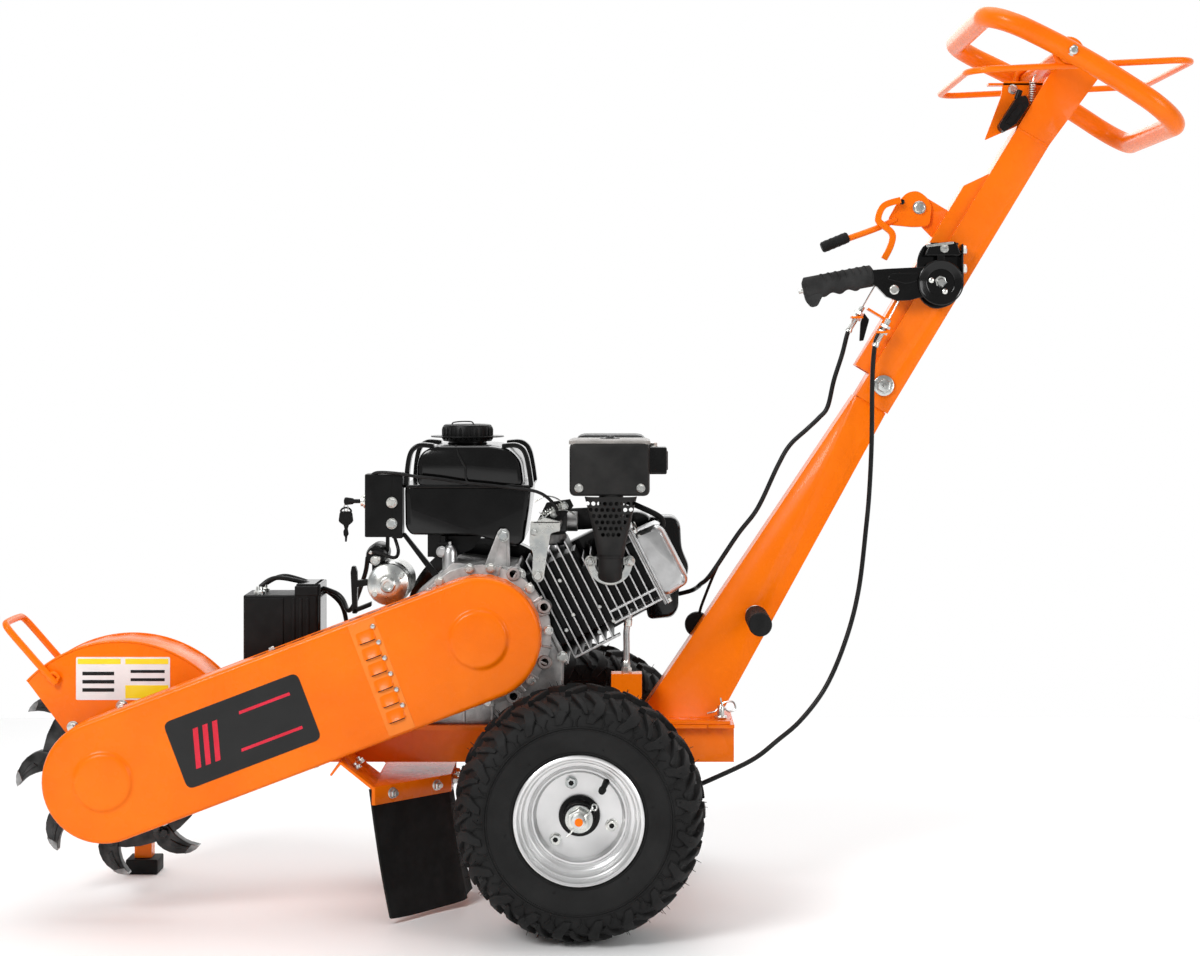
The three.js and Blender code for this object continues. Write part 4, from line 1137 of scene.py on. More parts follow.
def make_blower():
    """Pressed fan shroud, recoil starter with its slots, and a duct beside the valve cover (a guess)."""
    near = span("blower_housing", "y")[0]
    lobe = [(0, -118), (312, -110), (337, -92), (337, 42), (312, 58), (0, 60)]
    rings = []
    for y, inset in ((near, 2), (near + 5, 0), (126, 0), (132, 2), (136, 6), (138, 12)):
        ring = [(u - (inset if u > 100 else 0), v + (inset if v < 0 else -inset)) for u, v in lobe]
        rings.append(flat([on_cylinder(u, v) for u, v in rounded(ring, 34, 8)], y))
    drum = [(146, near), (146, 136), (144, 143), (138, 148), (128, 150), (94, 150), (92, 152), (92, 160),
            (90, 165),
            (84, 168), (30, 168), (26, 165), (0.5, 165)]
    body = lathe((CRANK[0], 0, CRANK[1]), FAR, drum, 96)
    piece("blower_shroud", [loft(rings), body], GLOSS_BLACK, "chassis", replaces=("blower_housing",))
    tail = [(112, 656), (160, 656), (171, 643), (173, 600), (186, 570), (184, 552), (168, 530), (168, 494),
            (157, 478),
            (112, 474)]
    layers = ((62, 0.08), (64, 0.03), (70, 0), (118, 0), (124, 0.03), (126, 0.08))
    piece("air_duct", [pillow(rounded(tail, 14, 6), (140, 565), layers)], GLOSS_BLACK, "chassis")
    slots, bolts = [], []
    for i in range(24):
        angle = 2 * math.pi * i / 24
        for inner, outer, y in ((40, 78, 167.7), (100, 126, 149.6)):
            ends = [(inner, -2.6), (outer, -3.6), (outer, 3.6), (inner, 2.6)]
            outline = [turned_point(CRANK, angle, r, q) for r, q in ends]
            slots.append(prism(rounded(outline, 2, 3), (y, y + 0.7)))
    for i in range(4):
        x, z = turned_point(CRANK, math.radians(45 + 90 * i), 136, 0)
        bolts += hex_bolt((x, 146, z), FAR, 7, 5)
    piece("recoil_slots", slots, PLASTIC, "chassis")
    piece("recoil_bolts", bolts, ZINC, "chassis")


def make_recoil_grip():
    """T-handle of the starter rope, and the eyelet on the housing that the rope comes out of."""
    x0, x1 = span("recoil_grip", "x")
    y, z = 161, 590
    path = [Vector((x0 + 3 + (x1 - x0 - 6) * i / 20, y,
                    z - 4 * math.sin(math.pi * i / 20))) for i in range(21)]
    bulge = tube(path, lambda share: 6.5 + 3.4 * math.sin(math.pi * share) ** 0.5, 24)
    neck = bar((-104.6, 158.6, 576), (-101, 160.6, 588), 6, 7.5)
    piece("recoil_handle", [bulge, neck], PLASTIC, "recoil", replaces=("recoil_grip",))
    piece("recoil_eyelet", [lathe((-107.5, 156.5, 565), (0.25, 0.15, 1), [(9, 0), (9, 3), (6, 6), (3, 6)],
                                  32)],
          SATIN_BLACK, "chassis")


def make_starter():
    """Starter motor: rolled steel can with an end cap, two through bolts, and the solenoid with its
    terminals.
    """
    x, z = centre("starter_motor")[0] + 6, span("starter_motor", "z")[0] + 36
    can = [(0.5, 20), (34, 20), (36, 18), (36, -60), (36.6, -61), (36.6, -66), (36, -67), (36, -98),
           (34.6, -102.4),
           (31, -105), (26, -106.5), (22, -109.5), (17, -110.5), (13.5, -111), (12.6, -115.5), (10.5, -117),
           (7, -116.4),
           (6, -113), (0.5, -113)]
    piece("starter_can", [lathe((x, 0, z), FAR, can, 72)], ZINC, "chassis", replaces=("starter_motor",))
    bolts = []
    for degrees in (35, 215):
        bx, bz = turned_point((x, z), math.radians(degrees), 27, 0)
        bolts += hex_bolt((bx, -104, bz), NEAR, 6, 5)
    bolts += hex_bolt((x - 23, -92, z + 40), NEAR, 8, 6)
    piece("starter_bolts", bolts, ZINC, "chassis")
    solenoid = [(0.5, 0), (17, 0), (18, 1), (18, 60), (17, 62), (17, 80), (15, 88), (0.5, 88)]
    piece("solenoid", [lathe((x - 23, -2, z + 48), NEAR, solenoid, 48), box((x - 30, x - 8), (-78, -12),
                                                                          (z + 20, z + 38))], SATIN_BLACK,
                                                                          "chassis")
    terminals = [bar((x - 30, -90, z + 54), (x - 30, -103, z + 54), 3, segments=12),
                 bar((x - 16, -90, z + 44), (x - 16, -103, z + 44), 3, segments=12)]
    piece("solenoid_terminals", terminals, ZINC, "chassis")
    strap = [(x - 62, z - 50), (x - 54, z - 50), (x - 54, z + 20), (x - 57, z + 30), (x - 63, z + 30),
             (x - 65, z + 20)]
    arm = [(x - 56, z - 6), (x - 33, z - 2), (x - 33, z + 8), (x - 56, z + 6)]
    foot = [(x - 60, z - 50), (x - 30, z - 38), (x - 30, z - 30), (x - 60, z - 42)]
    piece("starter_guard", [prism(strap, (-92, -76)), prism(arm, (-92, -76)), prism(foot, (-92, -76))],
          SATIN_BLACK,
          "chassis", bevel=1.5)


def make_muffler():
    """Muffler box with a pale lid, outlet, exhaust pipe, perforated heat guard and clamped flange."""
    shell = rounded([(-20, 702), (115, 702), (115, 792), (-20, 792)], 11, 6)
    layers = ((-125, 0.09), (-123.4, 0.04), (-119, 0.008), (-112, 0),
              (-18, 0), (-11, 0.008), (-6.6, 0.04), (-5, 0.09))
    piece("muffler_box", [pillow(shell, (48, 747), layers)], HEAT_BLACK, "chassis", replaces=("muffler",))
    lid = rounded([(-21, -122), (116, -122), (116, -8), (-21, -8)], 12, 6)
    inner = rounded([(-15, -116), (110, -116), (110, -14), (-15, -14)], 12, 6)
    steps = [[(px, py, z) for px, py in outline] for outline, z in ((lid, 789), (lid, 794.5), (inner, 797))]
    piece("muffler_lid", [loft(steps)], IVORY, "chassis")
    knob = [lathe((48, -62, 796.4), UP, [(17, 0), (17, 1.6), (9, 2.6), (7, 5), (0.5, 5.4)], 40)]
    piece("muffler_knob", knob, SATIN_BLACK, "chassis")
    outlet = [box((112, 144), (-105, -56), (738, 784)), box((140, 146), (-98, -63), (744, 778))]
    piece("muffler_outlet", outlet, GLOSS_BLACK, "chassis", bevel=4, segments=4)
    piece("muffler_bolts", hex_bolt((121, -80, 784), UP, 8, 6) + hex_bolt((-4, -124.6, 716), NEAR, 7, 5)
          + hex_bolt((100, -124.6, 716), NEAR, 7, 5), ZINC, "chassis")
    pipe_path = [(50, -103, 704), (50, -103, 660), (49.6, -103, 606), (48.6, -101, 580), (48, -94, 566)]
    piece("exhaust_pipe", [wire(pipe_path, 20.6, 40, 40), lathe((49.6, -103, 598), UP,
                                                                ring_profile(20.2, 22.4, 0, 7),
                                                                 48, closed=True)], HEAT_BLACK, "chassis")
    make_heat_guard()
    clamp = arc((48, 588), 38, 180, 360, 20) + arc((48, 588), 25, 360, 180, 20)
    piece("exhaust_flange", [prism(clamp, (-92, -86)), box((8, 26), (-92, -86), (584, 598)),
                             box((70, 88), (-92, -86), (584, 598))], ZINC, "chassis", bevel=1)
    bolts = []
    for x in (15, 81):
        bolts += hex_bolt((x, -92, 591), NEAR, 9, 8)
        bolts.append(bar((x, -102, 591), (x, -112, 591), 4.2, segments=16))
    piece("exhaust_bolts", bolts, ZINC, "chassis")


def make_heat_guard():
    """Curved funnel over the exhaust pipe with six staggered rows of round holes, drilled and baked in."""
    (x0, x1), (bottom, top) = span("heat_guard", "x"), span("heat_guard", "z")
    middle = (x0 + x1) / 2
    rings = []
    for level in range(13):
        share = level / 12
        half = 22 + (x1 - x0 - 46) / 2 * share ** 1.15
        z = bottom + (top - bottom) * share
        outer = [(middle + half * math.sin(math.radians(a)) * 1.04,
                  -106 - 23 * math.cos(math.radians(a)) ** 0.6, z)
                 for a in range(-88, 89, 8)]
        inner = [(middle + (half - 2) * math.sin(math.radians(a)) * 1.04,
                  -106 - 21 * math.cos(math.radians(a)) ** 0.6, z) for a in range(88, -89, -8)]
        rings.append(outer + inner)
    guard = piece("heat_guard_funnel", [loft(rings)], HEAT_BLACK, "chassis", replaces=("heat_guard",))
    drills = []
    for row in range(6):
        z = 638 + row * 10.4
        half = 13 + row * 5.2
        count = 4 + row // 2 * 2 + (row % 2)
        for i in range(count):
            x = middle - half + 2 * half * i / (count - 1)
            drills.append(lathe((x, -140, z), FAR, [(3.5, 0), (3.5, 38)], 16))
    cutter = piece("heat_guard_drills", drills, HEAT_BLACK, "chassis", ride=False)
    holes = guard.modifiers.new("holes", "BOOLEAN")
    holes.operation = "DIFFERENCE"
    holes.solver = "EXACT"
    holes.object = cutter
    bpy.context.view_layer.update()
    evaluated = guard.evaluated_get(bpy.context.evaluated_depsgraph_get())
    mesh = bpy.data.meshes.new_from_object(evaluated)
    guard.modifiers.clear()
    guard.data = mesh
    bpy.data.objects.remove(cutter)
    mesh.set_sharp_from_angle(angle=SMOOTH_ANGLE)


FILLER = (-200, 20)   # middle of the fuel cap, seen from above


def make_tank():
    """Moulded tank: tub, seam, shell, strap loops at both ends, filler neck, fuel tap and bracket."""
    near, far = span("fuel_tank", "y")
    tub = rounded([(-301, 708), (-300, 646), (-290, 633), (-182, 633), (-112, 613), (-98, 622), (-88, 690),
                   (-86, 716),
                   (-300, 716)], 7, 5)
    upper = rounded([(-280, 716), (-280, 756), (-272, 774), (-250, 785), (-152, 785), (-122, 779),
                     (-104, 760),
                     (-98, 716)], 12, 5)
    layers = ((near, 0.085), (near + 1.8, 0.035), (near + 6, 0.008), (near + 12, 0),
              (far - 12, 0), (far - 6, 0.008), (far - 1.8, 0.035), (far, 0.085))
    piece("tank_tub", [pillow(tub, (-195, 675), layers)], GLOSS_BLACK, "chassis", replaces=("fuel_tank",))
    piece("tank_shell", [pillow(upper, (-192, 750), layers)], GLOSS_BLACK, "chassis")
    seam = rounded([(-304, near - 1.5), (-83, near - 1.5), (-83, far + 1.5), (-304, far + 1.5)], 14, 6)
    piece("tank_seam", [prism_z(seam, (713.5, 718.5))], GLOSS_BLACK, "chassis", bevel=1.4)
    straps = []
    for outline in ([(-299, 716), (-297, 745), (-293, 768), (-286, 780), (-274, 785.5), (-252, 784)],
                    [(-86, 716), (-90, 745), (-95, 768), (-102, 780), (-114, 785.5), (-136, 784)]):
        closed = strip(outline, 28, 4)
        straps += [prism(closed, (near + 8, near + 34)), prism(closed, (far - 34, far - 8))]
    piece("tank_straps", straps, GLOSS_BLACK, "chassis", bevel=2.2, segments=3)
    neck = [(36, 778), (36, 784), (33, 787), (33, 796), (63, 797), (63.6, 798), (63, 799.2), (31, 799.6),
            (31, 778)]
    piece("tank_neck", [lathe((*FILLER, 0), UP, neck, 72, closed=True)], SATIN_BLACK, "chassis")
    petcock = [bar((-236, -66, 632), (-236, -66, 618), 6), bar((-244, -66, 616), (-222, -66, 616), 7),
               box((-262, -238), (-70, -62), (596, 634))]
    piece("fuel_tap", petcock, SATIN_BLACK, "chassis", bevel=1)
    web = rounded([(-264, 633), (-168, 633), (-188, 606), (-236, 590), (-258, 594)], 6)
    piece("tank_bracket", [prism(web, (-46, -42)), box((-264, -168), (-46, -10), (629, 633))], SATIN_BLACK,
          "chassis",
          bevel=1)
    piece("tank_bracket_bolt", hex_bolt((-240, -46, 604), NEAR, 9, 6), ZINC, "chassis")


def make_fuel_cap():
    """Ribbed cap with the loop of its vent wire."""
    low, high = span("fuel_cap", "z")
    top = [(0.5, high - 1.5), (30, high - 1.5), (33, high), (38, high), (41, high - 1.2), (42.4, high - 4),
           (42.6, low + 3),
           (42, low), (37.4, low), (37, high - 13), (0.5, high - 13)]
    shells = [lathe((*FILLER, 0), UP, top, 96)]
    for i in range(28):
        angle = 2 * math.pi * i / 28
        x, y = FILLER[0] + 42.4 * math.cos(angle), FILLER[1] + 42.4 * math.sin(angle)
        shells.append(lathe((x, y, low + 2), UP, [(0.6, 0), (2.1, 2.5), (2.3, 18), (0.8, 22.5)], 10))
    piece("fuel_cap_knurled", shells, PLASTIC, "cap", replaces=("fuel_cap",))
    tether = [(-226, 8, 815), (-225, 8, 821.5), (-216, 10, 823.5), (-202, 14, 824), (-192, 16, 823),
              (-189, 17, 818)]
    piece("cap_vent_wire", [wire(tether, 1.1, 30, 8)], CABLE, "cap")


def make_air_cleaner():
    """Two-part case with a wing nut, and the rubber elbow to the carburettor."""
    (x0, x1), (y0, y1) = span("air_cleaner", "x"), span("air_cleaner", "y")
    z1 = span("air_cleaner", "z")[1]
    outline = rounded([(x0, 702), (x1, 702), (x1, z1), (x0, z1)], 20, 8)
    middle = ((x0 + x1) / 2, (702 + z1) / 2)
    layers = ((y0, 0.05), (y0 + 4, 0), (84, 0), (85, 0.03), (88, 0.03), (89, 0),
              (y1 - 16, 0), (y1 - 7, 0.02), (y1 - 2, 0.07), (y1, 0.16))
    piece("air_cleaner_case", [pillow(outline, middle, layers)], PLASTIC, "chassis",
          replaces=("air_cleaner",))
    nut = [lathe((middle[0], y1 - 1, middle[1]), FAR, [(16, 0), (15, 3), (7, 4), (6, 9), (0.5, 10)], 40),
           box((middle[0] - 12, middle[0] + 12), (y1 + 1, y1 + 8), (middle[1] - 2.4, middle[1] + 2.4))]
    piece("air_cleaner_knob", nut, SATIN_BLACK, "chassis", bevel=0.8)
    elbow = [(52, 52, 704), (50, 50, 680), (42, 42, 664), (20, 30, 656), (-20, 20, 654)]
    piece("intake_elbow", [wire(elbow, 19, 40, 32)], RUBBER, "chassis")


def make_carburettor():
    """Carburettor with its bowl, throttle links and springs between the tank and the muffler."""
    body = [box((-66, -26), (-38, 26), (636, 668)), lathe((-46, -6, 612), UP,
                                                          [(17, 0), (19, 3), (19, 18), (15, 24)], 40),
            bar((-30, -6, 652), (-8, -6, 652), 17), lathe((-46, -38, 652), NEAR,
                                                          [(12, 0), (12, 4), (8, 7), (4, 8)], 32)]
    piece("carburettor", body[1:], ALUMINIUM, "chassis", bevel=1.5)
    piece("carburettor_throat", body[:1], STEEL, "chassis", bevel=2)
    plate = [(-84, 640), (-60, 688), (-20, 694), (-14, 682), (-30, 664), (-62, 634)]
    piece("control_plate", [prism(plate, (-62, -59.5))], SATIN_BLACK, "chassis", bevel=0.8)
    links = [wire([(-72, -66, 654), (-52, -70, 672), (-30, -66, 676), (-12, -60, 668)], 1.3, 30, 8),
             coil((-70, -68, 668), (-34, -68, 684), 4, 9, 0.8),
             coil((-56, -52, 690), (-22, -52, 676), 3.4, 8, 0.8),
             wire([(-80, -72, 690), (-60, -76, 700), (-40, -72, 694), (-28, -66, 680)], 1.3, 30, 8)]
    piece("governor_links", links, ZINC, "chassis")
    pivots = hex_bolt((-66, -62, 656), NEAR, 8, 6) + hex_bolt((-30, -62, 682), NEAR, 7,
                                                              6) + stud((-48, -62, 668), NEAR, 6, 4)
    piece("governor_bolts", pivots, ZINC, "chassis")
    band = [(-88, 624), (-86, 656), (-60, 664), (-36, 658), (-36, 642), (-52, 638), (-58, 604), (-64, 562),
            (-70, 555),
            (-79, 556), (-84, 563), (-82, 604), (-87, 616)]
    piece("governor_bracket", [prism(rounded(band, 3, 3), (-96, -93)),
                               box((-86, -36), (-96, -78), (655, 658))], ZINC,
          "chassis", bevel=0.7)
    piece("governor_bracket_bolts", hex_bolt((-74, -96, 566), NEAR, 9, 7) + hex_bolt((-80, -96, 640), NEAR,
                                                                                     6, 4),
          ZINC, "chassis")


def make_battery():
    """Battery with a stepped lid, grooved near side, hold-down strap and two terminals."""
    (x0, x1), (y0, y1), (z0, z1) = (span("battery", axis) for axis in "xyz")
    lid_z = z1 - 19
    body = rounded([(x0, y0), (x1 - 4, y0), (x1 - 4, y1), (x0, y1)], 5, 4)
    piece("battery_case", [prism_z(body, (z0, lid_z)), box((x0 + 88, x1 - 3), (y0 - 1, y1),
                                                           (lid_z - 2, z1 - 3))], PLASTIC,
          "chassis", bevel=2.5, segments=3, replaces=("battery",))
    strap = [box((x1 - 12, x1), (y0 + 4, y1 - 4), (z0 + 10, z1)),
             box((x0 + 90, x1 - 2), (y0 + 4, y1 - 4), (z1 - 4, z1))]
    piece("battery_cover", strap, GLOSS_BLACK, "chassis", bevel=3, segments=4)
    grooves = [box((x, x + width), (y0 - 2.6, y0 + 1), (z0 + 4, lid_z - 5))
               for x, width in ((x0 + 3, 66), (x0 + 84, 5), (x0 + 96, 5), (x0 + 108, 5))]
    piece("battery_ridges", grooves, PLASTIC, "chassis", bevel=0.9)
    posts = [lathe((x0 + 25, y, lid_z), UP, [(10, 0), (10, 5), (7, 7), (6, 13), (0.5, 13.5)], 28)
             for y in (y0 + 22, y1 - 22)]
    piece("battery_posts", posts, ZINC, "chassis")
    rod_pair = [bar((x, y0 - 4, z0 - 6), (x, y0 - 4, z0 + 46), 2.5, segments=12) for x in (x0 + 10, x1 - 16)]
    piece("battery_rods", rod_pair, ZINC, "chassis")
    leads = [wire([(x0 + 25, y0 + 22, lid_z + 12), (x0 + 60, y0 + 30, z1 + 8), (x1 + 20, 10, z1 - 20),
                   (-400, -20, 500),
                   (-372, -50, 560), (-362, -86, 596)], 4, 60, 14),
             wire([(x0 + 25, y1 - 22, lid_z + 12), (x0 + 70, y1 - 20, z1 + 6), (x1 + 24, 40, z1 - 40),
                   (-400, 50, 400),
                   (-320, 70, 350)], 4, 60, 14)]
    piece("battery_leads", leads, CABLE, "chassis")


def make_switch():
    """Key switch box with its bolts, lock, struts and the leads that run over the tank."""
    x0 = span("switch_box", "x")[0] + 8
    casing = [box((x0, x0 + 60), (-78, -40), (630, 737)), box((x0 + 46, x0 + 64), (-79.5, -38), (628, 739))]
    piece("switch_casing", casing, SATIN_BLACK, "chassis", bevel=2.2, segments=3, replaces=("switch_box",))
    piece("switch_bolts", hex_bolt((-322, -79, 689), NEAR, 9, 5) + hex_bolt((-322, -79, 653), NEAR, 9, 5),
          ZINC, "chassis")
    piece("switch_lock", [lathe((x0, -58, 690), (-1, 0, 0), [(13, 0), (13, 3), (9.5, 4), (9, 8.4)], 40)],
          ZINC, "chassis")
    struts = [prism([(-309, 636), (-301, 636), (-244, 566), (-254, 562)], (-62, -50)),
              prism([(-334, 632), (-328, 632), (-328, 606), (-340, 584), (-348, 588), (-334, 610)],
                    (-62, -50))]
    piece("switch_struts", struts, SATIN_BLACK, "chassis", bevel=1.2)
    route = [(-336, -58, 736), (-350, -64, 726), (-358, -70, 731), (-348, -76, 739.5), (-315, -84, 739),
             (-280, -85, 733.5), (-243, -83, 729.6), (-196, -82, 722.5), (-160, -82, 719), (-125, -82, 715),
             (-100, -84, 712), (-77, -84, 708), (-60, -80, 699), (-46, -74, 684), (-40, -66, 668)]
    drop = [(-214, -70, 786), (-208, -79, 768), (-198, -81, 749), (-196, -81, 730), (-192, -82, 721)]
    piece("switch_leads", [wire(route, 2.8, 90, 12), wire(drop, 1.8, 30, 10)], CABLE, "chassis")
    loom = [(-320, -58, 631), (-312, -66, 606), (-318, -84, 596), (-345, -92, 606), (-356, -96, 604)]
    piece("starter_lead", [wire(loom, 3, 40, 12)], CABLE, "chassis")


def key_outline(x, z):
    """Bow and blade of a key seen from the side, hanging down from x, z."""
    return [(x - 9, z), (x - 11, z - 4), (x - 12.5, z - 16), (x - 11, z - 19), (x - 4, z - 24),
            (x - 2.5, z - 30),
           (x - 4.6, z - 34), (x - 4, z - 41), (x - 1.8, z - 44), (x - 1.6, z - 52), (x + 1.4, z - 52),
           (x + 2.4, z - 43), (x + 4.8, z - 39), (x + 3.2, z - 30), (x + 5, z - 24), (x + 11, z - 19),
           (x + 12.5, z - 16), (x + 11, z - 4), (x + 9, z)]


def make_keys():
    """Key in its lock, with a ring and a spare hanging from it."""
    x0, x1 = span("ignition_key", "x")
    shank = bar((x0 + 6, -58, 690), (x1, -58, 690), 3.6)
    head = prism(rounded([(x0, 683), (x0 + 15, 685), (x0 + 17, 690), (x0 + 15, 695), (x0, 697),
                          (x0 - 2, 690)], 3),
                 (-60.2, -55.8))
    piece("key_in_lock", [shank, head], SATIN_BLACK, "key", bevel=0.5, replaces=("ignition_key",))
    ring = tube(smooth_path([(x0 + 2, -58, 686), (x0 + 6, -60, 679), (x0 + 2, -58, 672), (x0 - 2, -56, 679)],
                            32, True),
                0.9, 8, True)
    spare = prism(key_outline(x0 + 2, 673), (-59.4, -56.6))
    bow = tube([Vector((x0 + 2 + 9 * math.cos(a / 24 * math.pi), -58, 672 + 7 * math.sin(a / 24 * math.pi)))
                for a in range(25)], 1.7, 10)
    piece("spare_key", [spare, bow], SATIN_BLACK, "key", bevel=0.6)
    piece("key_ring", [ring], ZINC, "key")


def make_drain():
    """Oil drain pipe that ends on a small bracket behind the cylinder."""
    route = [(84, -64, 508), (80, -64, 492), (76, -64, 470), (76, -64, 446), (76, -64, 412)]
    piece("drain_pipe", [wire(route, 5.4, 50, 20)], ALUMINIUM, "chassis")
    piece("drain_fittings", [lathe((76, -64, 399), UP, [(9, 0), (9, 8), (6.6, 10), (6.6, 18), (5.6, 20)], 6),
                             lathe((78, -64, 478), (0.1, 0, 1), ring_profile(5, 7, 0, 12), 32, closed=True)],
                             ZINC,
          "chassis")
    bracket = [box((50, 102), (-84, -46), (394, 399)), box((50, 102), (-84, -80), (316, 396)),
               box((50, 54), (-82, -46), (316, 396)), box((98, 102), (-82, -46), (316, 396))]
    piece("drain_bracket", bracket, ORANGE, "chassis", bevel=1)


make_crankcase_extras()
make_cylinder()
make_valve_cover()
make_blower()
make_recoil_grip()
make_starter()
make_muffler()
make_tank()
make_fuel_cap()
make_air_cleaner()
make_carburettor()
make_battery()
make_switch()
make_keys()
make_drain()
dress("crankcase", ALUMINIUM, 3, 3)


# ---------------------------------------------------------------- mast, handlebar and levers
def make_grip_bar():
    """Cross bar through the mast with two ribbed rubber sleeves."""
    x, z = centre("grip_bar")
    end = span("grip_bar", "y")[1]
    shells = [bar((x, -end + 2, z), (x, end - 2, z), 10)]
    for side in (-1, 1):
        profile = [(10, 62), (17.4, 62), (19.5, 64)]
        for i in range(26):
            start = 66 + i * 4.2
            profile += [(19.5, start), (19.5, start + 2.8), (18.3, start + 3.2), (18.3, start + 3.9)]
        profile += [(19.5, end - 2), (18, end), (0.5, end)]
        shells.append(lathe((x, 0, z), (0, side, 0), profile, 40))
    piece("grip_sleeves", shells, RUBBER, "mast", replaces=("grip_bar",))
    bushes = [lathe((x, 0, z), (0, side, 0), ring_profile(10.2, 17, 30.5, 34), 36,
                    closed=True) for side in (-1, 1)]
    piece("grip_bushes", bushes, ZINC, "mast")


def loop_path(x, half_width, corner, height):
    """Closed loop seen from above, rounded at all four corners."""
    plan = []
    for middle_x, middle_y, start in ((x[1] - corner, corner - half_width, -90),
                                      (x[1] - corner, half_width - corner, 0),
                                      (x[0] + corner, half_width - corner, 90),
                                      (x[0] + corner, corner - half_width, 180)):
        plan += arc((middle_x, middle_y), corner, start, start + 90, 14)
    path = []
    for i, (px, py) in enumerate(plan):
        next_x, next_y = plan[(i + 1) % len(plan)]
        steps = max(1, int(math.hypot(next_x - px, next_y - py) / 9))
        path += [(px + (next_x - px) * k / steps, py + (next_y - py) * k / steps) for k in range(steps)]
    return [Vector((px, py, height(px))) for px, py in path]


CAD_LOOP_R = 15   # handlebar tube in the CAD
LOOP_R = 17.5     # the same tube as the photograph shows it
BAIL_R = 5.5


def make_handlebar():
    """Tubular loop of the handlebar, welded on the cross bar and bolted through."""
    x1 = span("handlebar", "x")[1] - CAD_LOOP_R
    half = span("handlebar", "y")[1] - CAD_LOOP_R

    def height(x):
        reach = x - CROSSBAR[0]
        return CROSSBAR[1] - 2 - 0.545 * reach - 0.00051 * reach * reach

    x0 = x1 - 315
    path = loop_path((x0, x1), half, 60, height)
    piece("handlebar_loop", [tube(path, LOOP_R, 32, True)], ORANGE, "handle", replaces=("handlebar",))
    bolts, beads = [], []
    for side in (-1, 1):
        bolts.append(lathe((CROSSBAR[0], side * (half + 14), CROSSBAR[1] - 2), (0, side, 0),
                           [(9.5, 0), (9.5, 1.5), (7.5, 2), (7, 6), (4.5, 8), (0.5, 8.4)], 32))
        ring = [Vector((CROSSBAR[0] + 17 * math.cos(a / 16 * math.pi), side * (half - 14),
                        CROSSBAR[1] + 17 * math.sin(a / 16 * math.pi))) for a in range(33)]
        beads.append(tube(ring[:-1], lambda share: 3 + 0.5 * math.sin(share * 150), 10, True))
    piece("handlebar_bolts", bolts, ZINC, "handle")
    piece("handlebar_welds", beads, ORANGE, "handle")


def make_bail():
    """Operator-presence bail: thin rod loop with eyes round the cross bar."""
    x1 = span("bail", "x")[1] - BAIL_R
    x0 = x1 - 373
    half = span("bail", "y")[1] - BAIL_R

    def height(x):
        return 1407.6 + 0.0483 * (x - 635)

    path = loop_path((x0, x1), half, 42, height)
    shells = [tube(path, BAIL_R, 20, True)]
    for side in (-1, 1):
        eye = [Vector((CROSSBAR[0] + 21 * math.cos(math.radians(a)), side * half,
                       CROSSBAR[1] + 21 * math.sin(math.radians(a)))) for a in range(-70, 251, 10)]
        shells.append(tube(eye, BAIL_R, 18))
    piece("bail_rod", shells, ORANGE, "bail_loop", replaces=("bail",))


def make_throttle():
    """Throttle lever: pressed plate, rod and rubber grip, with the bent stop on the handle beside it."""
    outline = [(18, -32), (22, 4), (12, 20), (-4, 30), (-22, 26), (-40, 6), (-54, -20), (-50, -30),
               (-10, -34)]
    plate = rounded([(THROTTLE[0] + x, THROTTLE[1] + z) for x, z in outline], 9, 5)
    near = span("throttle_lever", "y")[0]
    rod = [(THROTTLE[0] - 40, -5.2, THROTTLE[1] - 20), (THROTTLE[0] - 80, -9, THROTTLE[1] - 38),
           (415, -18, 1125)]
    piece("throttle_plate", [prism(plate, (-8, -2.6))], ORANGE, "throttle", bevel=1.2,
          replaces=("throttle_lever",))
    piece("throttle_rod", [wire(rod, 5.5, 40, 20)], ORANGE, "throttle")
    grip = [Vector((458, -14.7, 1142.6)).lerp(Vector((412, max(near + 10, -18.3), 1123.6)),
                                              i / 20) for i in range(21)]
    piece("throttle_grip",
          [tube(grip, lambda s: 10 - 1.6 * abs(math.sin(s * math.pi * 5)) * 0.4 - (2.5 if s in (0, 1) else 0),
                                 28)], RUBBER, "throttle")
    piece("throttle_pivot", hex_bolt((THROTTLE[0], -8, THROTTLE[1]), NEAR, 11, 5), ZINC, "throttle")
    bent = [(547.8, 1205.9), (519, 1195.9), (509, 1172.9), (519, 1161.5), (533.4, 1147.1), (530.5, 1127.1),
            (519, 1104.1)]
    dots = [lathe((THROTTLE[0] - 30, -8, THROTTLE[1] + 10), NEAR, [(4.5, 0), (4.5, 2), (2.5, 3), (0.4, 3)],
                  20)]
    piece("throttle_rivet", dots, SATIN_BLACK, "throttle")
    piece("throttle_stop", [prism(strip(bent, 36, 5.5), (-24, -14))], ORANGE, "handle", bevel=1.2)


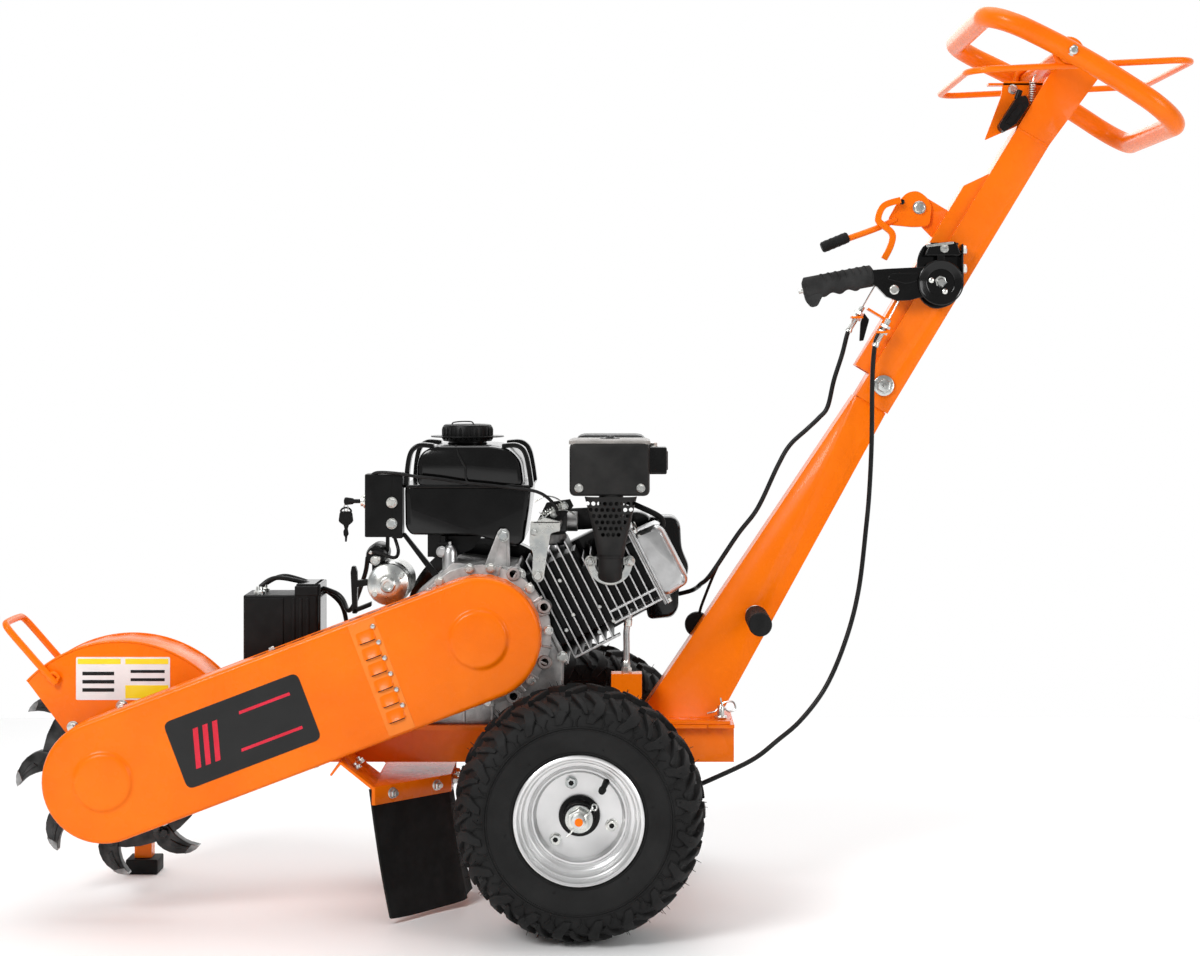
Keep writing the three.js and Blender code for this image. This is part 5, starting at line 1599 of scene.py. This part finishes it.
def make_brake_lever():
    """Parking brake lever: pressed web with a belly, foam grip with finger bumps, and a hooked end."""
    px, pz = BRAKE
    web = arc(BRAKE, 30, -70, 100, 14) + [(px - 30, pz + 27), (px - 90, pz + 24), (px - 128, pz + 21),
                                           (px - 130, pz + 2), (px - 108, pz - 7), (px - 92, pz - 24),
                                           (px - 74, pz - 31),
                                           (px - 52, pz - 30), (px - 30, pz - 24)]
    hollow = rounded([(px - 34, pz + 17), (px - 84, pz + 16), (px - 92, pz + 6), (px - 60, pz - 2),
                      (px - 40, pz + 2)],
                     6)
    piece("brake_web", [prism(web, (-67, -47)), prism(hollow, (-68, -66))], GLOSS_BLACK, "hand_brake",
          bevel=2.5,
          segments=3, replaces=("brake_lever",))
    start, end = Vector((px - 112, -57, pz + 13)), Vector((px - 234, -57, pz - 10))
    lean = (end - start).normalized()
    upright = Vector((-lean.z, 0, lean.x)) * (-1 if lean.x < 0 else 1)
    rings = []
    for i in range(73):
        share = i / 72
        swell = 1 - 0.45 * max(0, abs(share - 0.5) * 2 - 0.93) / 0.07
        finger = 2.4 * math.sin(share * math.pi * 9) if 0.22 < share < 0.95 else 0
        ring = []
        for k in range(32):
            turn = 2 * math.pi * k / 32
            reach = 18.5 * swell + (finger if math.sin(turn) < 0 else 0) * abs(math.sin(turn))
            ring.append(tuple(start.lerp(end, share) + Vector((0, 14.5 * swell * math.cos(turn), 0))
                              + upright * (reach * math.sin(turn))))
        rings.append(ring)
    ridges = []
    for share in (0.12, 0.22, 0.32, 0.42, 0.52, 0.62, 0.72):
        middle = start.lerp(end, share) + upright * 6
        ridge = [middle + Vector((0, 14.2 * math.cos(a / 10 * math.pi),
                                  0)) + upright * (12.6 * math.sin(a / 10 * math.pi))
                 + lean * (5 * math.cos(a / 10 * math.pi)) for a in range(-1, 12)]
        ridges.append(tube(ridge, 1.1, 8))
    hook = rounded([(px - 196, pz - 14), (px - 232, pz - 16), (px - 229, pz - 30), (px - 219, pz - 42),
                    (px - 209, pz - 40), (px - 204, pz - 30)], 6)
    piece("brake_grip", [loft(rings), *ridges], FOAM, "hand_brake")
    piece("brake_hook", [prism(hook, (-66, -48))], FOAM, "hand_brake", bevel=4, segments=4)
    pins = [lathe((px - 79, -67, pz - 12), NEAR, [(8, 0), (8, 3), (6, 4.4), (0.5, 4.4)], 28)]
    pins += hex_bolt((px, -67, pz + 2), NEAR, 11, 3)
    piece("brake_pins", pins, ZINC, "hand_brake")


def make_brake_bracket():
    """Glossy housing of the parking brake: round cheek, box flange on top, ring and side bolts."""
    px, pz = BRAKE
    cheek = rounded([(px - 36, pz + 48), (px - 26, pz + 66), (px + 24, pz + 72), (px + 36, pz + 48),
                     (px + 44, pz + 22),
                     (px + 40, pz - 16), (px + 22, pz - 38), (px - 8, pz - 46), (px - 32, pz - 30),
                     (px - 40, pz + 2)], 22,
                    6)
    flange = rounded([(px - 28, pz + 46), (px - 20, pz + 64), (px + 26, pz + 70), (px + 35, pz + 46)], 5)
    shells = [prism(cheek, (-45, -37)), prism(flange, (-72.5, -69.5)),
              box((px - 18, px + 30), (-72, -40), (pz + 64, pz + 68)),
              box((px + 35, px + 38.5), (-72, -38), (pz + 12, pz + 66))]
    piece("brake_housing", shells, GLOSS_BLACK, "handle", bevel=2.4, segments=3, replaces=("brake_bracket",))
    ring = [lathe((px, -69.5, pz), NEAR, [(23, 0), (35, 0), (38, 1.4), (39, 3.4), (37, 4.6), (34, 3),
                                          (25, 3), (23, 2)],
                  72, closed=True)]
    arms = [box((px - 6, px + 6), (-72, -69.5), (pz + 34, pz + 54)),
            lathe((px, -68.6, pz), NEAR, [(0.5, 0), (24, 0), (24, 1.4), (0.5, 1.4)], 48)]
    piece("ratchet_ring", ring + arms, GLOSS_BLACK, "handle", bevel=0.8)
    rivets = [lathe((px + x, -70, pz + z), NEAR, [(4.6, 0), (4.6, 1.2), (3, 2.4), (0.4, 2.8)], 20)
              for x, z in ((-16, 4), (7, -15))]
    piece("ratchet_rivets", rivets, ZINC, "handle")
    hub = [lathe((px, -67, pz), NEAR, [(7.6, -20), (7.6, 9), (6, 11.5), (0.5, 11.8)], 36)]
    piece("brake_pin", hub, ZINC, "handle")
    bolts = hex_bolt((px + 38.5, -56, pz + 56), (1, 0, 0), 9, 6) + hex_bolt((px + 38.5, -56, pz + 24),
                                                                            (1, 0, 0), 9, 6)
    bolts += stud((px + 6, -72, pz + 58), NEAR, 7, 3)
    piece("bracket_bolts", bolts, ZINC, "handle")
    rail = rounded([(px - 24, pz + 60), (px + 22, pz + 66), (px + 21, pz + 70), (px - 25, pz + 64)], 1.5)
    piece("bracket_rail", [prism(rail, (-73.5, -71))], ZINC, "handle", bevel=0.5)


def make_mast_fittings():
    """Weld beads at the upper mast's end, and the rubber boot with its lead on the lower mast."""
    beads = []
    for side in (-1, 1):
        points = []
        for i in range(25):
            x, z = on_mast(497, -30 + 60 * i / 24)
            points.append(Vector((x, side * 33.5, z)))
        beads.append(tube(points, lambda s: 2.2 + 0.5 * math.sin(s * 90), 8))
    piece("mast_welds", beads, ORANGE, "handle")
    boot = lathe((200, 30, 469), FAR, [(14, 0), (21, 2), (22, 6), (22, 14), (18, 19), (12, 21), (0.5, 22)],
                 48)
    lead = wire([(238, -4, 584), (226, 6, 556), (214, 18, 524), (206, 30, 500), (203, 38, 486)], 2.6, 40, 10)
    piece("cable_boot", [boot, lead], RUBBER, "mast")


def make_bail_spring():
    """Return spring of the bail with a hook at each end."""
    spring = coil((775.6, -20, 1410.6), (773, -20, 1376), 5.5, 9, 1.1)
    hooks = [wire([(773, -20, 1376), (772, -20, 1368), (768, -20, 1362)], 1.1, 12, 8),
             wire([(775.6, -20, 1410.6), (777, -20, 1418), (781, -20, 1422)], 1.1, 12, 8)]
    piece("bail_spring", [spring, *hooks], ZINC, "handle")


def make_stop_switch():
    """Stop switch below the handlebar, and the bent plate that guards it."""
    switch = rounded([(713, 1331), (722, 1320), (743, 1335), (766, 1368), (760, 1384), (744, 1380),
                      (726, 1352)], 5)
    piece("stop_switch", [prism(switch, (-42, -14)), bar((746, -28, 1378), (752, -28, 1394), 5),
                          prism(rounded([(724, 1336), (736, 1334), (756, 1364), (748, 1370)], 4),
                                (-45, -41))], PLASTIC,
          "handle", bevel=2)
    guard = rounded([(693, 1309), (721, 1383), (726, 1412), (800, 1408), (806, 1396), (790, 1388),
                     (750, 1334)], 4)
    piece("switch_plate", [prism(guard, (-13, -9)), box((700, 806), (-13, 8), (1404, 1408))], ORANGE,
          "handle", bevel=1)
    piece("switch_plate_bolt", hex_bolt((742, -13, 1397), NEAR, 8, 5), ZINC, "handle")


def make_adjusters():
    """Threaded cable adjusters on their tabs, and the hook beside them."""
    adjusters = []
    for top, bottom in (((483, -20, 1023.5), (457, -20, 978.7)), ((523, -62, 1000), (498.5, -62, 952.7))):
        along = Vector(bottom) - Vector(top)
        length = along.length
        thread = [(2.6, 0), (4.6, 0.8)]
        for i in range(int((length - 8) / 2.4)):
            thread += [(5.2, 2 + i * 2.4), (4.5, 3.2 + i * 2.4)]
        thread += [(6, length - 5), (6, length - 1), (4.4, length)]
        adjusters.append(lathe(top, along, thread, 24))
        nut = [(5, 0), (9, 0), (9, 4.6), (5, 4.6)]
        for share in (0.22, 0.42):
            adjusters.append(lathe(tuple(Vector(top) + along * share), along, nut, 6))
        inner = Vector(top) - along.normalized() * 42
        adjusters.append(bar(tuple(inner), tuple(top), 1.4, segments=10))
    piece("cable_adjusters", adjusters, ZINC, "handle")
    tabs = [box((462, 482), (-34, -9), (1002, 1006)), box((500, 524), (-72, -46), (976, 980))]
    piece("adjuster_tabs", tabs, ORANGE, "handle", bevel=1)
    hook = rounded([(486, 1012), (495, 1000), (485, 964), (478, 963), (480, 996)], 2)
    piece("cable_hook", [prism(hook, (-9, -3))], SATIN_BLACK, "handle", bevel=1)


def make_mast_clips():
    """End of the fold bolt, and the clip through the swivel pin."""
    nut = stud((FOLD[0], span("fold_bolt", "y")[0] + 3, FOLD[1]), NEAR, 4, 2)
    piece("fold_bolt_cap", nut, ZINC, "mast")
    clip = [(237, -40, 352), (240, -44, 340), (250, -46, 330), (262, -46, 334), (258, -44, 346),
            (242, -42, 344),
            (228, -42, 330), (214, -42, 326)]
    piece("hitch_clip", [wire(clip, 1.6, 60, 10)], ZINC, "mast")


CABLE_R = 4
BRAKE_ROUTE = [(512, -62, 985), (501, -62, 965), (496, -63, 930), (494, -64, 880), (493, -65, 793),
               (489, -67, 710),
               (483, -70, 646), (470, -75, 542), (448, -85, 460), (414, -95, 382), (371, -105, 326),
               (329, -113, 291), (287, -119, 260), (218, -124, 228), (150, -126, 200), (100, -128, 178),
               (78, -130, 168)]
THROTTLE_ROUTE = [(468, -20, 996), (457, -20, 978), (447, -20, 940), (433, -20, 896), (422, -20, 850),
                  (407, -20, 831), (387, -20, 812), (357, -20, 784), (336, -20, 748), (302, -18, 676),
                  (268, -12, 630), (222, 0, 560), (205, 28, 540), (198, 60, 530), (190, 76, 524)]


def bare_piece(name, shells, finish, replaces=()):
    return piece(name, shells, finish, None, ride=False, replaces=replaces)


def make_cables():
    """Cables, each in an upper and a lower half, the throttle cable's end, and the starter's short rope."""
    brake, throttle = smooth_path(BRAKE_ROUTE, 200), smooth_path(THROTTLE_ROUTE, 170)
    cut_brake = min(range(len(brake)), key=lambda i: abs(brake[i].z - 710))
    cut_throttle = min(range(len(throttle)), key=lambda i: abs(throttle[i].z - 812))
    upper_brake = bare_piece("brake_cable_upper", [tube(brake[:cut_brake + 1], CABLE_R, 14)], CABLE,
                             ("brake_cable",))
    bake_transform(upper_brake)
    lower_brake = bare_piece("brake_cable_lower", [tube(brake[cut_brake:], CABLE_R, 14)], CABLE)
    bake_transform(lower_brake)
    upper = bare_piece("throttle_cable_upper", [tube(throttle[:cut_throttle + 1], CABLE_R, 14)], CABLE,
                       ("throttle_cable",))
    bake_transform(upper)
    lower = bare_piece("throttle_cable_lower", [tube(throttle[cut_throttle:], CABLE_R, 14)], CABLE)
    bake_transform(lower)
    tail = [(203, 40, 536), (198, 60, 530), (190, 76, 524), (172, 88, 518), (150, 96, 513)]
    piece("throttle_cable_end", [wire(tail, CABLE_R, 40, 14)], CABLE, "chassis")
    rope = [Vector((-107, 156.6, 566)), Vector((-104.6, 158.6, 577))]
    line = bare_piece("starter_rope", [tube([rope[0].lerp(rope[1], i / 12) for i in range(13)], 2.2, 12)],
                      IVORY)
    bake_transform(line)


make_grip_bar()
make_handlebar()
make_bail()
make_throttle()
make_brake_lever()
make_brake_bracket()
make_mast_fittings()
make_bail_spring()
make_stop_switch()
make_adjusters()
make_mast_clips()
make_cables()
for node, finish, width in (
        ("mast_lower", ORANGE, 1.5), ("mast_upper", ORANGE, 1.5), ("swivel_pin", ZINC, 1.2),
        ("fold_bolt", ZINC, 1.2),
        ("brake_button", ZINC, 0.8)):
    dress(node, finish, width)


# ---------------------------------------------------------------- camera, floor and light
FLOOR_REACH = 12   # metres in front of the part and to both sides
FLOOR_BACK = 2     # metres behind it, so that the white wall shows


def make_stage():
    """Pale floor that melts into a white wall, soft lamps, and a wall that is dimmer towards the viewer."""
    floor = bpy.data.meshes.new("floor")
    floor.from_pydata([(-FLOOR_REACH, -FLOOR_REACH, 0), (FLOOR_REACH, -FLOOR_REACH, 0),
                       (FLOOR_REACH, FLOOR_BACK, 0), (-FLOOR_REACH, FLOOR_BACK, 0)], [], [(0, 1, 2, 3)])
    ground = bpy.data.objects.new("floor", floor)
    bpy.context.scene.collection.objects.link(ground)
    pale = Finish("studio_floor", roughness=0.6)
    pale.colour(pale.noise(0.6), (0.3, grey(0.95)), (0.7, grey(0.965)))
    floor.materials.append(pale.material)
    for name, where, aim, size, power in (
            ("key", (-2.4, -3.4, 3.2), (0, 0, 0.6), 1.6, 135),
            ("fill", (3.4, -2.8, 1.8), (0, 0, 0.6), 1.6, 45),
            ("top", (0.2, 0.2, 4.2), (0, 0, 0.5), 3.0, 50), ("behind", (0.5, 3.6, 2.6), (0, 0, 0.7), 2.6,
                                                             30)):
        light = bpy.data.lights.new(name, "AREA")
        light.size = size
        light.energy = power
        lamp = bpy.data.objects.new(name, light)
        lamp.location = where
        lamp.rotation_euler = (Vector(aim) - Vector(where)).to_track_quat("-Z", "Y").to_euler()
        bpy.context.scene.collection.objects.link(lamp)
    world = bpy.data.worlds.new("studio")
    world.use_nodes = True
    background = world.node_tree.nodes["Background"]
    nodes, links = world.node_tree.nodes, world.node_tree.links
    direction = nodes.new("ShaderNodeSeparateXYZ")
    links.new(nodes.new("ShaderNodeTexCoord").outputs["Generated"], direction.inputs["Vector"])
    wall = nodes.new("ShaderNodeValToRGB")
    wall.color_ramp.elements[0].position = 0.0
    wall.color_ramp.elements[0].color = (0.3, 0.3, 0.3, 1)
    wall.color_ramp.elements[1].position = 0.35
    wall.color_ramp.elements[1].color = (1, 1, 1, 1)
    links.new(direction.outputs["Y"], wall.inputs["Fac"])
    links.new(wall.outputs["Color"], background.inputs["Color"])
    background.inputs["Strength"].default_value = 1.0
    bpy.context.scene.world = world


def make_camera():
    """Long lens level with the handle, as the photograph was taken."""
    lens = bpy.data.cameras.new("photo_angle")
    lens.lens = 69.4
    lens.sensor_width = 36
    lens.shift_x = -0.0167
    lens.shift_y = -0.10
    lens.clip_end = 200
    camera = bpy.data.objects.new("photo_angle", lens)
    camera.location = place((65, -4000, 934))
    camera.rotation_euler = (math.radians(90), 0, 0)
    bpy.context.scene.collection.objects.link(camera)
    bpy.context.scene.camera = camera


make_stage()
make_camera()
bpy.context.scene.view_settings.view_transform = "Standard"
